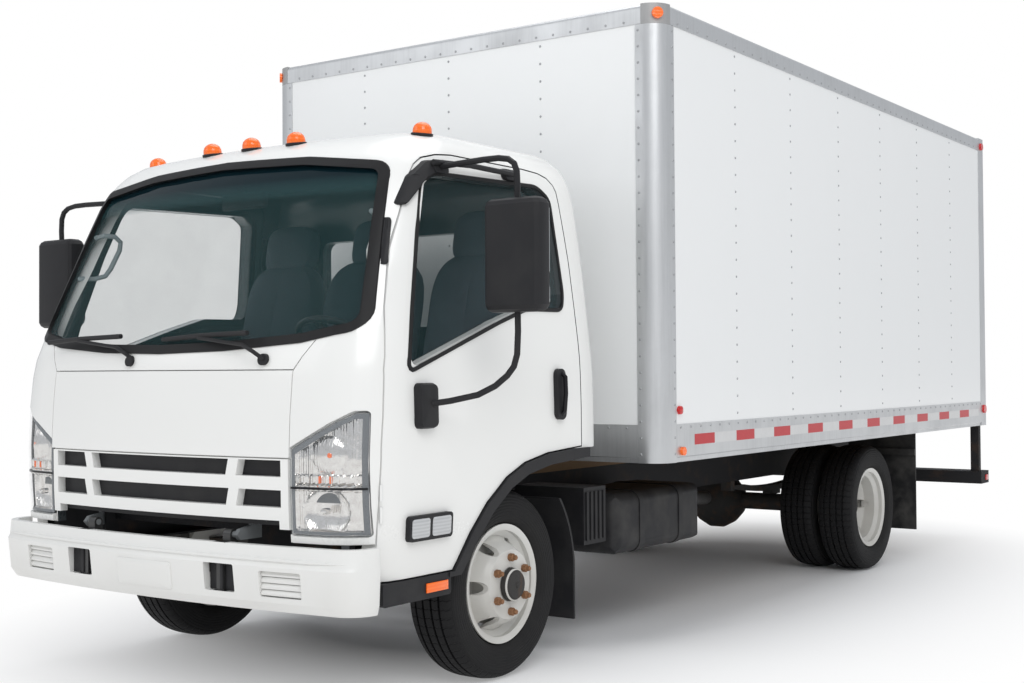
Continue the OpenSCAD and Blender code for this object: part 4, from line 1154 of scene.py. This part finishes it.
# %% Roof lamps
FOOT = [(0.045, -0.006), (0.045, 0.004), (0.043, 0.0065), (0.040, 0.007)]
GLOBE = [(0.0395, 0.006), (0.0395, 0.015), (0.038, 0.025), (0.0335, 0.0355), (0.025, 0.044),
         (0.014, 0.0495), (0.0005, 0.052)]
bm_globe, bm_foot = bmesh.new(), bmesh.new()
for x, y in ((-0.79, -0.33), (-0.25, -0.49), (0.0, -0.50), (0.25, -0.49), (0.79, -0.33)):
    at, right, behind = (shell((x + dx, Y(y) + dy, 4), (0, 0, -1))
                         for dx, dy in ((0, 0), (0.03, 0), (0, 0.03)))
    way = (right - at).cross(behind - at).normalized() + Vector((0, 0, 1))
    turned(bm_foot, FOOT, at, way)
    turned(bm_globe, GLOBE, at, way)
globes = piece("roof_lamp_globes", bm_globe, "amber", "cab")
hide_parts("roof_lamps")
piece("roof_lamp_feet", bm_foot, "black", "cab")
print("roof lamps: 5")

# %% [markdown]
# ## Camera, floor and light
# The camera stands off the driver's side front corner at about chest height.

# %% Camera
SENSOR, FOCAL_PX, PHOTO_PX = 36.0, 1392.6, 1024
cam_data = bpy.data.cameras.new("camera")
cam_data.sensor_width = SENSOR
cam_data.lens = FOCAL_PX / PHOTO_PX * SENSOR
cam_data.clip_end = 200
camera = put("camera", cam_data)
camera.location = (4.3042, Y(-4.6836), 1.276)
camera.rotation_euler = [math.radians(a) for a in (91.12, 0.35, 35.26)]
bpy.context.scene.camera = camera
print("camera at", [round(v, 3) for v in camera.location])

# %% [markdown]
# The floor takes the truck's shadow and fades to plain white further out, so no horizon shows.

# %% Floor
bpy.context.scene.view_settings.view_transform = "Standard"
FAR = 60
floor_mesh = bpy.data.meshes.new("floor")
floor_mesh.from_pydata([(-FAR, -FAR, 0), (FAR, -FAR, 0), (FAR, FAR, 0), (-FAR, FAR, 0)], [],
                       [(0, 1, 2, 3)])
floor = put("floor", floor_mesh)
fs = Sheet("pale_floor")
fs.done(Base_Color=fs.mix(fs.noise(2, 3) * 0.2, (0.9, 0.9, 0.9), (0.86, 0.86, 0.86)), Roughness=0.9)
away = (fs.x * fs.x * 1.6 + fs.y * fs.y * 0.55).pow(0.5).ramp(1.6, 3.4)
glow = fs.node("ShaderNodeEmission")
blend = fs.node("ShaderNodeMixShader", away, Val(fs, fs.bsdf.outputs[0]), glow)
fs.plug(fs.tree.nodes["Material Output"].inputs["Surface"], blend)
floor_mesh.materials.append(fs.mat)
print("floor nodes:", len(fs.tree.nodes))

# %% [markdown]
# The camera sees a white world, but a greyer one lights the truck.

# %% World and lamps
world = bpy.data.worlds.new("studio")
bpy.context.scene.world = world
world.use_nodes = True
wt = world.node_tree
back = wt.nodes["Background"]
path = wt.nodes.new("ShaderNodeLightPath")
tint = wt.nodes.new("ShaderNodeMix")
tint.data_type = "RGBA"
tint.inputs[6].default_value = (0.60, 0.62, 0.65, 1)
tint.inputs[7].default_value = (1, 1, 1, 1)
wt.links.new(path.outputs["Is Camera Ray"], tint.inputs[0])
wt.links.new(tint.outputs[2], back.inputs["Color"])
back.inputs["Strength"].default_value = 1.0


def lamp(name, at, aim, power, size):
    """A square area lamp that looks at a point."""
    light = bpy.data.lights.new(name, "AREA")
    light.energy, light.size = power, size
    obj = put(name, light)
    obj.location = at
    obj.rotation_euler = (Vector(aim) - Vector(at)).to_track_quat("-Z", "Y").to_euler()


lamp("key", (7.5, -8.0, 8.0), (0, -1.0, 1.2), 410, 6.0)
lamp("front", (-5.0, -9.5, 6.0), (0, -2.5, 1.2), 85, 5.0)
lamp("top", (0.0, 0.5, 10.0), (0, 0.5, 0), 360, 8.0)
